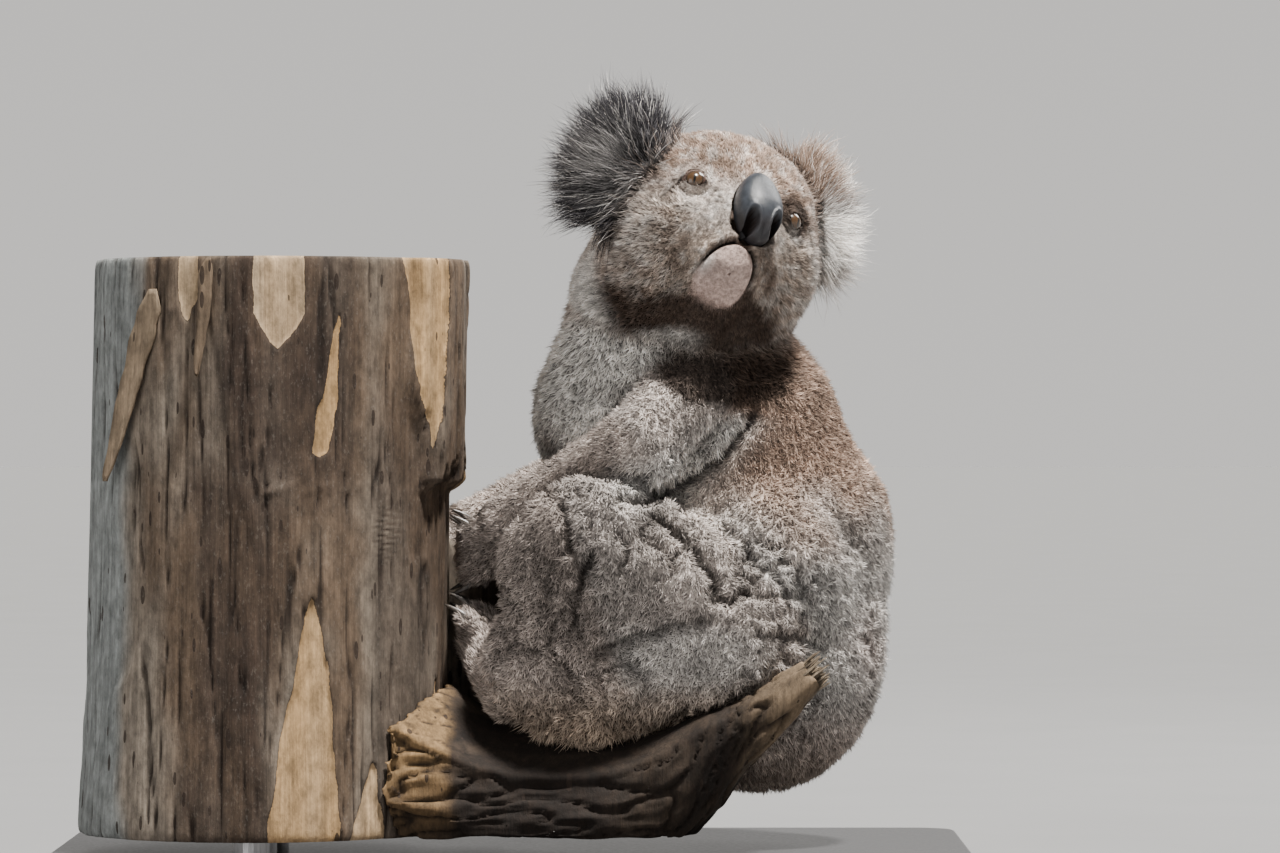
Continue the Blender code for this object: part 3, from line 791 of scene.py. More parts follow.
def make_skin():
    """The whole skin, with the values along it that the coat needs."""
    body = rough_body()
    mesh = body.data
    keep_largest(mesh)
    pairs = edge_pairs(mesh)
    points = even_out(mesh_points(mesh), pairs, 12)
    # Close the sockets and draw the haunch smoothly into the flank.
    owner_of = region_finder()
    shares = group_shares(owner_of(points), pairs, 8)
    sockets = np.zeros(len(points))
    for name in ("eye_left", "eye_right"):
        reach = reach_from(points - box_centre(name), 0.006 * HEAD_AXES[1])
        sockets = np.maximum(sockets, smooth_step(0.0200, 0.0170, reach))
    points = relax(points, pairs, sockets, 90)
    for leg in ("left_leg", "right_leg"):
        joint = smooth_step(0.10, 0.55, 4.0 * shares[leg] * shares["trunk"])
        points = relax(points, pairs, joint, 45)
    # The shoulders flow into the back.
    high = smooth_step(0.325, 0.350, points[:, 2]) * smooth_step(-0.02, 0.02, points[:, 0])
    for arm in ("left_arm", "right_arm"):
        near = spread(4.0 * shares[arm] * shares["trunk"], pairs, len(points), 10)
        points = relax(points, pairs, high * smooth_step(0.02, 0.25, near), 90)
    set_points(mesh, points)
    refine_face(mesh)

    pairs = edge_pairs(mesh)
    points = mesh_points(mesh)
    count = len(points)
    owner = owner_of(points)
    kind = KINDS[owner]
    shares = group_shares(owner, pairs, 9)
    kind_share = {
        name: spread((kind == name).astype(float), pairs, count, 7)
        for name in sorted(set(kind))
    }
    depth = np.array([COAT_DEPTH[name] for name in KINDS])[owner]
    local = to_head(points)
    muzzle = smooth_step(0.052, 0.030, reach_from(local, (-0.004, 0.052, -0.026)))
    cheek = smooth_step(0.030, 0.055, np.abs(local[:, 0])) * smooth_step(0.02, -0.02, local[:, 2])
    on_face = kind == "head"
    depth = np.where(on_face, depth + 0.0022 * cheek - 0.0012 * muzzle, depth)
    depth = spread(depth, pairs, count, 16)
    inset = spread(np.where(kind == "ear", 0.0, depth + SEAM_COVER), pairs, count, 6)
    set_points(mesh, points)
    points = points - inset[:, None] * point_normals(mesh)
    set_points(mesh, even_out(points, pairs, 3))
    points, fold = press_folds(mesh_points(mesh), point_normals(mesh), shares, kind_share)
    points = even_out(points, pairs, 1)
    points, bed = nose_bed(points)
    set_points(mesh, points)
    points, mouth = carve_mouth(points, point_normals(mesh))
    set_points(mesh, points)
    pits = pit_nearness(points) * on_face
    local = to_head(points)
    crease = np.zeros(count)
    for way in (1.0, -1.0):
        run = tuple((left * way, 0.0, up) for left, up in OUTER_CREASE)
        crease = np.maximum(crease, nearness(local * (1.0, 0.0, 1.0), run, 0.0023))
    crease = crease * smooth_step(0.012, 0.022, local[:, 1])
    points = points - (0.0014 * pits + 0.0024 * crease)[:, None] * point_normals(mesh)
    points, lids = open_lids(points, pairs)
    set_points(mesh, points)
    mesh.shade_smooth()
    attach(body, "root")
    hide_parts(*FLESH, "ear_left", "ear_right")
    values = {
        "owner": owner, "kind": kind, "kind_share": kind_share, "depth": depth, "pairs": pairs,
        "fold": fold, "mouth": mouth, "lids": lids, "bed": bed, "pits": pits, "crease": crease,
        "muzzle": muzzle,
    }
    return body, values


# ---------------------------------------------------------------- markings with painted light and shade, and lie

DEEP_FOLD = 0.009  # depth at which a fold is darkest and its wool shortest
# The loose edge of the near upper arm.
ARM_EDGE = ((0.072, 0.342), (0.056, 0.324), (0.035, 0.308), (0.012, 0.297), (-0.004, 0.294))


def mixed(base, colour, amount):
    return base * (1.0 - amount[:, None]) + colour * amount[:, None]


def markings_and_painted_light(points, values):
    """The coat's colour at each place of the skin, with painted light and shade in places."""
    x, y, z = points.T
    side, ahead, up = to_head(points).T
    share = values["kind_share"]
    patchy = noise_at(points, 22.0, 4.0)
    colour = np.tile(GREY, (len(points), 1))

    def paint(tint, amount):
        nonlocal colour
        colour = mixed(colour, tint, amount)

    trunk = limited(share["torso"] + share["neck"])
    back = 0.90 * smooth_step(0.195, 0.300, z + 0.020 * patchy) * smooth_step(-0.02, 0.05, x)
    paint(BROWN, back * trunk)
    # The lower flank is pale, brightened further as painted light.
    flank = share["torso"] * smooth_step(0.305, 0.215, z + 0.030 * patchy)
    flank = flank * smooth_step(0.03, 0.07, x)
    paint(0.5 * PALE + 0.5 * WHITE, 0.85 * flank * smooth_step(0.10, 0.15, z))
    # The bent knee is a darker grey, deepened as painted shade.
    knee = limited(share["shank"] + share["thigh"]) * smooth_step(0.03, -0.02, x)
    paint(0.62 * GREY, 0.80 * knee * smooth_step(0.17, 0.20, z))
    # Painted light: a bright band on the lower thigh.
    low = reach_from(points, (0.030, -0.140, 0.168), (0.075, 1.0, 0.028))
    paint(WHITE, 0.55 * share["thigh"] * smooth_step(1.2, 0.5, low))
    rump = bell(reach_from(points, (0.176, -0.030, 0.172)), 0.030)
    paint(PINK, 0.45 * share["torso"] * rump)
    paint(PALE, 0.25 * limited(share["upper_arm"] + share["thigh"]))
    # The loose edge of the upper arm is cream.
    below = smooth_step(0.352, 0.336, z)
    paint(PALE, 0.75 * below * beside(points, ARM_EDGE, 0.018))
    paint(WHITE, 0.95 * below * beside(points, ARM_EDGE, 0.0105))
    # The throat, chest and belly are white.
    front = smooth_step(0.035, -0.025, x + 0.45 * (y - 0.012))
    throat = limited(share["neck"] * smooth_step(0.075, 0.020, x) + share["torso"] * front)
    paint(WHITE, throat * smooth_step(0.12, 0.28, z))
    # The nape and the back of the head run into each other.
    nape = smooth_step(0.010, -0.035, ahead) * smooth_step(0.400, 0.440, z + 0.010 * patchy)
    nape_colour = 0.45 * GREY + 0.45 * BROWN
    paint(nape_colour, nape * share["neck"])
    # Painted shade: the far shoulder and the arm's inner side are darkened against the chest.
    paint(UMBER, 0.75 * bell(reach_from(points, (-0.074, -0.024, 0.322)), 0.022))
    # Painted shadow of the head on the near shoulder.
    shoulder = reach_from(points, (0.070, -0.090, 0.378), (0.064, 0.075, 0.031)) + 0.35 * patchy
    paint(0.55 * UMBER, 0.92 * smooth_step(1.15, 0.75, shoulder) * (1.0 - share["head"]))
    # The leg's underside is tan, the rump's is darker.
    leg = limited(share["thigh"] + share["shank"] + share["foot"])
    paint(TAN, 0.90 * leg * smooth_step(0.160, 0.110, z))
    paint(0.5 * TAN + 0.5 * UMBER, 0.55 * share["torso"] * smooth_step(0.115, 0.070, z))
    paint(0.6 * GREY, 0.60 * limited(share["hand"] + share["foot"]))
    # Painted shade in the creases.
    paint(0.22 * colour, limited(values["fold"] / DEEP_FOLD) ** 1.2 * 0.85)

    # Head: warm brow, pale cheeks and ring round the eyes, dark brown and painted shade under the
    # jaw.
    head = share["head"]
    paint(0.76 * BROWN, 0.90 * head * smooth_step(0.000, 0.026, up))
    paint(0.50 * TAN + 0.40 * GREY, 0.85 * head * smooth_step(0.016, -0.008, up))
    cheek = 0.35 * head * smooth_step(0.045, 0.075, np.abs(side))
    paint(PALE, cheek * smooth_step(0.03, -0.02, up))
    behind = head * smooth_step(0.010, -0.035, ahead)
    paint(nape_colour, behind * smooth_step(0.480, 0.440, z + 0.010 * patchy))
    clumps = noise_at(points, 120.0, 15.0) + 0.5 * noise_at(points, 300.0, 16.0)
    paint(0.4 * BROWN, head * 0.55 * smooth_step(0.05, 0.40, clumps))
    paint(PALE, head * 0.45 * smooth_step(-0.05, -0.40, clumps))
    # Under the jaw the dark brown is deepened as painted shade.
    jaw = -0.066 + 0.029 * (np.clip(np.abs(side) - 0.050, 0.0, None) / 0.032) ** 2
    jaw = np.where(side > 0.0, jaw + 0.004, jaw)
    under = smooth_step(0.004, -0.006, up - jaw + 0.004 * noise_at(points, 90.0, 2.0))
    paint(0.70 * UMBER, 0.95 * head * under)
    white_below = smooth_step(-0.085, -0.094, up) * smooth_step(0.010, -0.030, side)
    low_back = smooth_step(-0.020, -0.045, ahead) * smooth_step(0.0, -0.04, up)
    white_below = np.maximum(white_below, low_back)
    paint(WHITE, 0.85 * head * white_below * smooth_step(0.05, 0.0, side))
    # Pale rings round the eyes; painted shade darkens round the far eye.
    for name, ring, dark in (("eye_left", 0.10, 0.95), ("eye_right", 0.20, 0.0)):
        reach = reach_from(points, box_centre(name))
        paint(PALE, ring * smooth_step(0.0215, 0.0150, reach))
        paint(0.6 * UMBER, dark * smooth_step(0.0210, 0.0165, reach))
    for way in (1.0, -1.0):
        pale = reach_from(points, from_head((way * 0.0455, 0.046, -0.0085)))
        paint(WHITE, 0.45 * bell(pale, 0.0085))
    paint(PALE, 0.30 * head * values["muzzle"] * smooth_step(-0.045, -0.020, up))
    # The chin is thinly haired and pink, with a white tuft at its corner.
    level, chin_front, upper = chin_level(points)
    chin = chin_front * smooth_step(1.04, 0.92, level)
    paint(PINK, 0.92 * head * chin)
    # Painted shade under the lip darkens the chin's upper part.
    paint(0.50 * PINK, 0.60 * head * chin * smooth_step(-0.072, -0.048, up))
    corner = reach_from(points, from_head((-0.0318, 0.0448, -0.0535)))
    paint(WHITE, 0.95 * bell(corner, 0.0085) * smooth_step(1.0, 0.9, level))
    lip = chin_front * upper * bell(level - 1.10, 0.09)
    paint(UMBER, 0.60 * lip * head * smooth_step(0.030, 0.010, np.abs(side + 0.010)))
    # Painted shade in the groove between the lips.
    paint(LASH_BROWN, limited(1.3 * values["mouth"]))
    # The skin beside the nose is pale on the far side.
    bed = values["bed"]
    beside_nose = 0.7 * head * smooth_step(0.0, 0.05, bed)
    paint(0.5 * TAN + 0.5 * WHITE, beside_nose * smooth_step(0.002, 0.014, side))
    # The muzzle's far side is in its own shade.
    shady = bell(x - 0.0935 + 0.15 * (z - 0.455), 0.0065) * smooth_step(0.424, 0.438, z)
    paint(UMBER, 0.60 * head * shady * smooth_step(0.486, 0.474, z) * (y < -0.05))
    # Painted shade in the nose's rim groove and the eye's corner crease; lids and pits are dark.
    paint(UMBER, 0.9 * smooth_step(0.15, 0.45, bed))
    paint(LASH_BROWN, limited(2.2 * values["lids"]))
    paint(LASH_BROWN, limited(1.5 * values["crease"]))
    paint(LASH_BROWN, 0.95 * values["pits"])

    # The near ear is slate with a pale patch, the far one brown above and white below.
    ear = share["ear"]
    paint(SLATE, ear)
    inner = reach_from(points, from_head((-0.098, 0.024, 0.020)))
    paint(PALE, 0.60 * ear * bell(inner, 0.020))
    far = ear * smooth_step(0.02, 0.06, side)
    over = points - box_centre("ear_left")
    right, rise = over[:, 0], over[:, 2]
    paint(0.60 * BROWN + 0.15 * SLATE, far * smooth_step(0.000, 0.012, rise))
    upper_right = 0.90 * far * smooth_step(0.002, 0.012, right)
    paint(1.2 * WHITE, upper_right * smooth_step(0.004, 0.016, rise))
    paint(1.2 * WHITE, 0.95 * far * smooth_step(0.006, -0.008, rise))
    paint(0.5 * GREY, 0.8 * far * smooth_step(-0.026, -0.036, rise))
    return colour


# Which way the hair runs over each region, before it is laid along the skin.
LIE = {
    "neck": (0.25, 0.05, -1.0), "torso": (0.18, 0.05, -1.0), "upper_arm": (-0.25, -0.55, -0.80),
    "forearm": (-0.85, 0.10, -0.50), "hand": (-0.9, 0.1, -0.2), "thigh": (-0.20, -0.15, -0.95),
    "shank": (-0.40, -0.05, -0.90), "foot": (-0.7, 0.1, 0.6), "head": (0.0, 0.0, -1.0),
    "ear": (0.0, 0.0, 1.0),
}


def hair_lie(points, normals, values):
    """Unit directions along the skin for the hair at each place."""
    kind = values["kind"]
    way = np.array([LIE[name] for name in KINDS])[values["owner"]]
    local = to_head(points)
    # On the head it runs back from the nose, and on the ears out from their roots.
    back = (local - (0.0, 0.085, -0.005)) * (1.0, 0.8, 1.0)
    way = np.where((kind == "head")[:, None], unit(back) @ HEAD_AXES, way)
    for side in ("left", "right"):
        at_ear = values["owner"] == REGIONS.index(f"ear_{side}")
        way = np.where(at_ear[:, None], unit(points - ear_root(side)), way)
    way = spread(way, values["pairs"], len(points), 10)
    way = unit(way - (way * normals).sum(axis=1)[:, None] * normals)
    # Swirls and cowlicks.
    turn = 0.55 * noise_at(points, 26.0, 6.0) + 0.35 * noise_at(points, 75.0, 8.0)
    turn = np.where(np.isin(kind, ["head", "ear"]), 0.35 * turn, turn)
    across = np.cross(way, normals)
    return way * np.cos(turn)[:, None] + across * np.sin(turn)[:, None]


# ---------------------------------------------------------------- materials of the animal

def nakedness(points, values):
    """1 where the skin shows as skin: the chin, the lids and the nose's bed."""
    level, chin_front, _ = chin_level(points)
    naked = chin_front * smooth_step(1.04, 0.92, level)
    for name in ("eye_left", "eye_right"):
        reach = reach_from(points, box_centre(name))
        naked = np.maximum(naked, smooth_step(0.0125, 0.0105, reach))
    return np.maximum(naked, smooth_step(0.0, 0.3, values["bed"]))


def fur_material(name, tuft):
    """Wool of the markings with painted light and shade, mottled, dark at root, pale at tip."""
    fur = Nodes(name)
    root = fur.attribute("root", "Vector")
    marking_and_painted_light = fur.attribute("marking_and_painted_light", "Color")
    mottle = fur.noise(root, 330.0, 4.0, 0.65)
    patches = fur.noise(root, 38.0, 3.0, 0.60)
    colour = fur.mottled(marking_and_painted_light, mottle, ((0.30, 0.50), (0.52, 1.0), (0.72, 1.45)))
    colour = fur.mottled(colour, patches, ((0.30, 0.74), (0.70, 1.22)))
    if tuft:
        tone, along = fur.attribute("tone"), fur.attribute("tip")
        colour = fur.mottled(colour, tone, ((0.0, 0.40), (0.6, 1.00), (1.0, 1.90)))
        colour = fur.mottled(colour, along, ((0.0, 0.28), (0.35, 0.74), (1.0, 1.50)))
    else:
        grain = fur.noise(fur.place(), 900.0, 3.0, 0.6)
        wool = fur.noise(fur.place(), 260.0, 4.0, 0.6)
        shade = fur.ramp(wool, ((0.35, 0.38), (0.65, 0.95)))
        colour = fur.shaded(colour, fur.mix(shade, (0.9, 0.9, 0.9), fur.attribute("naked")))
        fur.bump(fur.plus(fur.times(grain, 0.35), wool), 0.7, 0.0016)
    fur.set(Base_Color=colour, Roughness=0.80, Specular_IOR_Level=0.12, Sheen_Weight=0.02)
    fur.set(Sheen_Roughness=0.5)
    return fur.material


# ---------------------------------------------------------------- the coat

class Skin:
    """The finished skin as arrays that tufts are planted on."""

    def __init__(self, body, values):
        self.mesh = body.data
        self.values = values
        self.points = mesh_points(self.mesh)
        self.normals = point_normals(self.mesh)
        self.colour = markings_and_painted_light(self.points, values)
        self.lie = hair_lie(self.points, self.normals, values)
        self.mesh.calc_loop_triangles()
        count = len(self.mesh.loop_triangles)
        corners = np.empty(count * 3, dtype=np.int32)
        loops = np.empty(count * 3, dtype=np.int32)
        self.mesh.loop_triangles.foreach_get("vertices", corners)
        self.mesh.loop_triangles.foreach_get("loops", loops)
        self.corners = corners.reshape(-1, 3)
        flat = np.empty(len(self.mesh.loops) * 2, dtype=np.float32)
        self.mesh.uv_layers["OFBake"].data.foreach_get("uv", flat)
        self.uv = flat.reshape(-1, 2)[loops.reshape(-1, 3)]
        a, b, c = (self.points[self.corners[:, k]] for k in range(3))
        self.area = 0.5 * np.linalg.norm(np.cross(b - a, c - a), axis=1)

    def on_faces(self, field):
        return field[self.corners].mean(axis=1)

    def plant(self, density):
        """Roots spread evenly for a number of tufts per square metre on each face."""
        weight = np.cumsum(self.area * density)
        number = int(weight[-1])
        places = (np.arange(number) + RANDOM.random(number)) * weight[-1] / number
        face = np.searchsorted(weight, places).clip(0, len(weight) - 1)
        a, b = RANDOM.random((2, number))
        flip = a + b > 1.0
        a, b = np.where(flip, 1.0 - a, a), np.where(flip, 1.0 - b, b)
        return face, np.stack((1.0 - a - b, a, b), axis=1)

    def at(self, field, face, share):
        values = field[self.corners[face]]
        if values.ndim == 2:
            return (values * share).sum(axis=1)
        return (values * share[:, :, None]).sum(axis=1)


def gather(tips, roots, every, amount):
    """Draw the tips together in small locks, as wool parts, and number the locks."""
    centres = np.flatnonzero(RANDOM.random(len(roots)) < 1.0 / every)
    tree = KDTree(len(centres))
    for i, index in enumerate(centres):
        tree.insert(roots[index], i)
    tree.balance()
    lock = np.array([tree.find(root)[1] for root in roots])
    pull = (tips[centres[lock]] - tips) * amount
    # No tip moves by more than about half its tuft's length.
    limit = 0.55 * np.linalg.norm(tips - roots, axis=1)
    size = np.linalg.norm(pull, axis=1)
    tips = tips + pull * np.minimum(1.0, limit / np.maximum(size, 1e-9))[:, None]
    return tips, lock


TUFT_ROOT = 0.0006  # how far under the skin a tuft starts
TUFT_FLATNESS = 0.7  # of its thickness to its width


def tuft_mesh(name, skin, face, share, style, length, width, rise):
    """Closed, tapered locks of rings of three corners that end in a point."""
    rings = style["rings"]
    number = len(face)
    root = skin.at(skin.points, face, share)
    normal = unit(skin.at(skin.normals, face, share))
    lie = skin.at(skin.lie, face, share)
    lie = unit(lie - (lie * normal).sum(axis=1)[:, None] * normal)
    across = np.cross(lie, normal)
    turn = RANDOM.normal(0.0, style.get("stray", 0.35), number)[:, None]
    lie = unit(lie * np.cos(turn) + across * np.sin(turn))
    rise = np.clip(rise + RANDOM.normal(0.0, 0.15, number), 0.06, 1.40)
    start_way = np.cos(rise)[:, None] * lie + np.sin(rise)[:, None] * normal
    low = np.clip(rise - style.get("bend", 0.0), -0.1, None)
    end_way = np.cos(low)[:, None] * lie + np.sin(low)[:, None] * normal
    curl = RANDOM.normal(0.0, style.get("curl", 0.2), number)[:, None]
    end_way = unit(end_way + curl * np.cross(lie, normal))
    tip = root + length[:, None] * 0.5 * (start_way + end_way)
    tone = RANDOM.random(number)
    if "every" in style:
        tip, lock = gather(tip, root, style["every"], style["pull"])
        tone = 0.5 * tone + 0.5 * RANDOM.random(lock.max() + 1)[lock]
    middle = root + length[:, None] * 0.52 * start_way
    base = root - TUFT_ROOT * normal
    rows = []
    for k in range(rings + 1):
        t = k / rings
        place = (1 - t) ** 2 * base + 2 * t * (1 - t) * middle + t * t * tip
        if k == rings:
            rows.append(place[:, None, :])
            continue
        forward = unit((1 - t) * (middle - base) + t * (tip - middle))
        wide = unit(np.cross(forward, normal))
        deep = np.cross(wide, forward)
        size = 0.5 * width * (1.0 - t) ** 0.75
        ring = []
        for angle in (math.radians(a) for a in (90.0, 210.0, 330.0)):
            ring.append(
                place + size[:, None] * (
                    math.cos(angle) * wide + TUFT_FLATNESS * math.sin(angle) * deep
                )
            )
        rows.append(np.stack(ring, axis=1))
    points = np.concatenate(rows, axis=1)
    per = points.shape[1]
    pattern, sides = [0, 2, 1], [3]
    for k in range(rings - 1):
        for i in range(3):
            j = (i + 1) % 3
            pattern += [3 * k + i, 3 * k + j, 3 * k + 3 + j, 3 * k + 3 + i]
            sides.append(4)
    last = 3 * (rings - 1)
    for i in range(3):
        pattern += [last + i, last + (i + 1) % 3, per - 1]
        sides.append(3)
    offsets = np.arange(number)[:, None] * per
    corners = (offsets + np.array(pattern)[None, :]).ravel()
    mesh = fast_mesh(name, points.reshape(-1, 3), corners, np.tile(sides, number))

    along = np.concatenate([np.repeat(k / rings, 3) for k in range(rings)] + [[1.0]])
    add_attribute(mesh, "tip", "FLOAT", np.tile(along, number))
    add_attribute(mesh, "tone", "FLOAT", np.repeat(tone, per))
    add_attribute(mesh, "root", "FLOAT_VECTOR", np.repeat(root, per, axis=0))
    colour = skin.at(skin.colour, face, share)
    if "pale" in style:
        # Silvery ends on a share of the hairs.
        silver = RANDOM.random(number) < style["pale"]
        colour = np.where(silver[:, None], 0.35 * colour + 0.65 * PALE, colour)
    add_colours(mesh, "marking_and_painted_light", np.repeat(colour, per, axis=0))

    # Each tuft has a small patch of the map, where its root lies in the skin's own unwrap.
    centre = (skin.uv[face] * share[:, :, None]).sum(axis=1)
    patch = 0.003
    spot_u = np.concatenate([np.tile((-0.5, 0.0, 0.5), rings), [0.0]])
    spot = np.stack((spot_u, along - 0.5), axis=1) * patch
    uv = (centre[:, None, :] + spot[None, :, :]).reshape(-1, 2)
    layer = mesh.uv_layers.new(name="OFBake")
    layer.data.foreach_set("uv", uv[corners].astype(np.float32).ravel())
    return mesh


def add_coat(name, skin, density, length, width, rise, **style):
    """Plant one kind of tuft and split it into pieces of under 200,000 triangles."""
    face, share = skin.plant(skin.on_faces(density))
    per_tuft = 4 + 6 * (style["rings"] - 1)
    pieces = max(1, math.ceil(len(face) * per_tuft / PIECE_TRIANGLES))
    vary = style.get("vary", 0.22)
    for number, chosen in enumerate(np.array_split(np.arange(len(face)), pieces), start=1):
        f, s = face[chosen], share[chosen]
        stretch = np.clip(RANDOM.normal(0.0, vary, len(f)), -2.5 * vary, 2 * vary)
        long = skin.at(length, f, s) * np.exp(stretch)
        wide = skin.at(width, f, s) * RANDOM.uniform(0.75, 1.25, len(f))
        steep = skin.at(rise, f, s)
        mesh = tuft_mesh(f"coat_{name}_{number}", skin, f, s, style, long, wide, steep)
        add_object(mesh.name, mesh, FUR)


def dress(skin):
    """All the tufts, by region."""
    values = skin.values
    points = skin.points
    share = values["kind_share"]
    count = len(points)
    head, ear = share["head"], share["ear"]
    small = limited(share["hand"] + share["foot"])
    body = limited(1.0 - head - ear - small)
    muzzle = values["muzzle"]
    bare = 1.0 - 1.8 * values["lids"] - 1.4 * values["bed"] - 1.3 * values["mouth"]
    bare = limited(bare - 1.3 * values["crease"] - 0.9 * values["pits"])
    for name, side in EYES:
        across, rise, ahead, _, beyond = eye_opening(points, name, side)
        inside = (ahead > 0.0) & (beyond < 0.0007) & (np.hypot(across, rise) < 0.012)
        bare = np.where(inside, 0.0, bare)
    depth = values["depth"]
    full = np.ones(count)
    level, chin_front, _ = chin_level(points)
    chin = head * chin_front * smooth_step(1.02, 0.92, level)
    shaggy = 1.0 + 0.22 * noise_at(points, 60.0, 12.0)

    # Body and limbs: short wool in small locks, longer on the throat and the arm's loose edge.
    loose_edge = beside(points, ARM_EDGE, 0.008)
    length = (0.0018 + 0.78 * depth) * shaggy + 0.0035 * loose_edge + 0.0020 * share["neck"]
    length = length * (1.0 - 0.35 * limited(values["fold"] / DEEP_FOLD))
    leg = limited(share["thigh"] + share["shank"])
    length = length + 0.0045 * leg * smooth_step(0.135, 0.110, points[:, 2])
    add_coat(
        "body", skin, 432_000 * body, length, 0.00132 * full, 0.66 * full,
        rings=1, every=9.0, pull=0.45, stray=0.80, vary=0.28,
    )
    # Head: short dense hair, woolly on the cheeks, very short on the muzzle and chin.
    face_length = np.clip(0.0016 + 0.95 * depth, 0.0022, 0.009) * shaggy * (1.0 - 0.25 * muzzle)
    face_length = face_length * (1.0 - 0.62 * chin)
    for name, side in EYES:
        _, _, ahead, _, beyond = eye_opening(points, name, side)
        beyond = np.where(ahead > 0.0, beyond, 1.0)
        face_length = face_length * (0.50 + 0.50 * smooth_step(0.0004, 0.0045, beyond))
    face_length = face_length * (1.0 - 0.55 * np.maximum(values["crease"], values["pits"]))
    face_width = 0.00062 + 0.00034 * smooth_step(0.0030, 0.0055, depth)
    face_density = 1_250_000 * head * bare * (1.0 + 0.5 * muzzle) * (1.0 - 0.3 * chin)
    face_rise = 0.50 + 0.35 * smooth_step(0.0030, 0.0046, depth)
    add_coat(
        "head", skin, face_density, face_length, face_width, face_rise,
        rings=1, every=8.0, pull=0.45, stray=0.45,
    )
    add_coat(
        "feet", skin, 460_000 * small, 0.0055 * shaggy, 0.00122 * full, 0.50 * full,
        rings=1, every=8.0, pull=0.4,
    )
    # Ears: a shorter undercoat, then a long fine fringe that radiates.
    add_coat(
        "ear_wool", skin, 480_000 * ear, 0.0125 * full, 0.0011 * full, 0.80 * full,
        rings=2, bend=0.3, vary=0.25, every=7.0, pull=0.35, curl=0.35,
    )
    out = np.zeros(count)
    for side in ("left", "right"):
        far = (points - ear_root(side)) @ unit(box_centre(f"ear_{side}") - HEAD_CENTRE)
        near = reach_from(points, box_centre(f"ear_{side}")) < 0.07
        out = np.maximum(out, near * smooth_step(0.000, 0.026, far))
    add_coat(
        "ear_fringe", skin, 620_000 * ear * out, 0.0290 * full, 0.00066 * full, 0.66 * full,
        rings=3, bend=0.25, vary=0.28, stray=0.30, curl=0.40, every=12.0, pull=0.45, pale=0.10,
    )


def unwrap(body):
    """An unwrap of the skin's own shape."""
    body.data.uv_layers.new(name="OFBake")
    bpy.context.view_layer.objects.active = body
    for thing in bpy.context.selected_objects:
        thing.select_set(False)
    body.select_set(True)
    bpy.ops.object.mode_set(mode="EDIT")
    bpy.ops.mesh.select_all(action="SELECT")
    bpy.ops.uv.smart_project(angle_limit=math.radians(66.0), island_margin=0.002)
    bpy.ops.object.mode_set(mode="OBJECT")
    body.select_set(False)


# ---------------------------------------------------------------- eyes, nose, claws

CORNEA_BULGE = 0.0009
IRIS_RADIUS = 0.0066
SLIT_HALF_WIDTH, SLIT_HALF_HEIGHT = 0.0010, 0.0042


def eye_material(side):
    """Brown iris with an upright slit, painted round the gaze, under a clear wet coat."""
    _, outward, up = eye_axes(side)
    name = "eye_left" if side > 0 else "eye_right"
    eye = Nodes(name)
    centre = box_centre(name)
    offset = eye.maths("SUBTRACT", eye.place(), centre, "ShaderNodeVectorMath")
    across, rise = (
        eye.maths("DOT_PRODUCT", offset, way, "ShaderNodeVectorMath", "Value")
        for way in (outward, up)
    )
    part = eye.maths("DIVIDE", eye.hypot(across, rise), IRIS_RADIUS)
    angle = eye.maths("ARCTAN2", rise, across)
    spokes = eye.add("ShaderNodeCombineXYZ", X=eye.times(angle, 5.0), Y=eye.times(part, 1.6))
    fibres = eye.noise(spokes.outputs[0], 3.0, 4.0, 0.7)
    iris = eye.ramp(fibres, (
        (0.25, (0.024, 0.012, 0.006)), (0.55, (0.070, 0.036, 0.015)), (0.80, (0.125, 0.072, 0.030)),
    ))
    colour = eye.mottled(iris, part, ((0.0, 1.0), (0.78, 0.95), (0.97, 0.12), (1.0, 0.06)))
    slit = eye.plus(*(
        eye.maths("POWER", eye.maths("DIVIDE", eye.maths("ABSOLUTE", value), half), 2.0)
        for value, half in ((across, SLIT_HALF_WIDTH), (rise, SLIT_HALF_HEIGHT))
    ))
    pupil = eye.ramp(slit, ((0.75, 0.0), (1.0, 1.0)))
    colour = eye.mix((0.004, 0.003, 0.003), colour, pupil)
    white = eye.ramp(part, ((0.985, 0.0), (1.0, 1.0)))
    colour = eye.mix(colour, (0.06, 0.035, 0.028), white)
    eye.set(Base_Color=colour, Roughness=0.22, Coat_Weight=1.0, Coat_Roughness=0.02, Coat_IOR=1.38)
    return eye.material


def make_eye(name, side):
    """The ball with the bulge of its cornea."""
    gaze, outward, up = eye_axes(side)
    centre = box_centre(name)
    draft = bmesh.new()
    bmesh.ops.create_uvsphere(draft, u_segments=48, v_segments=32, radius=1.0)
    turn = np.array((outward, up, gaze)).T
    for vertex in draft.verts:
        way = np.array(vertex.co)
        bulge = CORNEA_BULGE * math.exp(-((math.hypot(way[0], way[1]) / 0.52) ** 4)) * (way[2] > 0)
        vertex.co = Vector(centre + turn @ (way * (EYE_RADIUS + bulge)))
    bmesh.ops.recalc_face_normals(draft, faces=draft.faces)
    mesh = mesh_from(f"{name}_ball", draft)
    mesh.shade_smooth()
    piece = add_object(mesh.name, mesh, eye_material(side))
    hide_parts(name)


NOSE_ROLL = math.radians(-4.5)  # of the pad in the head


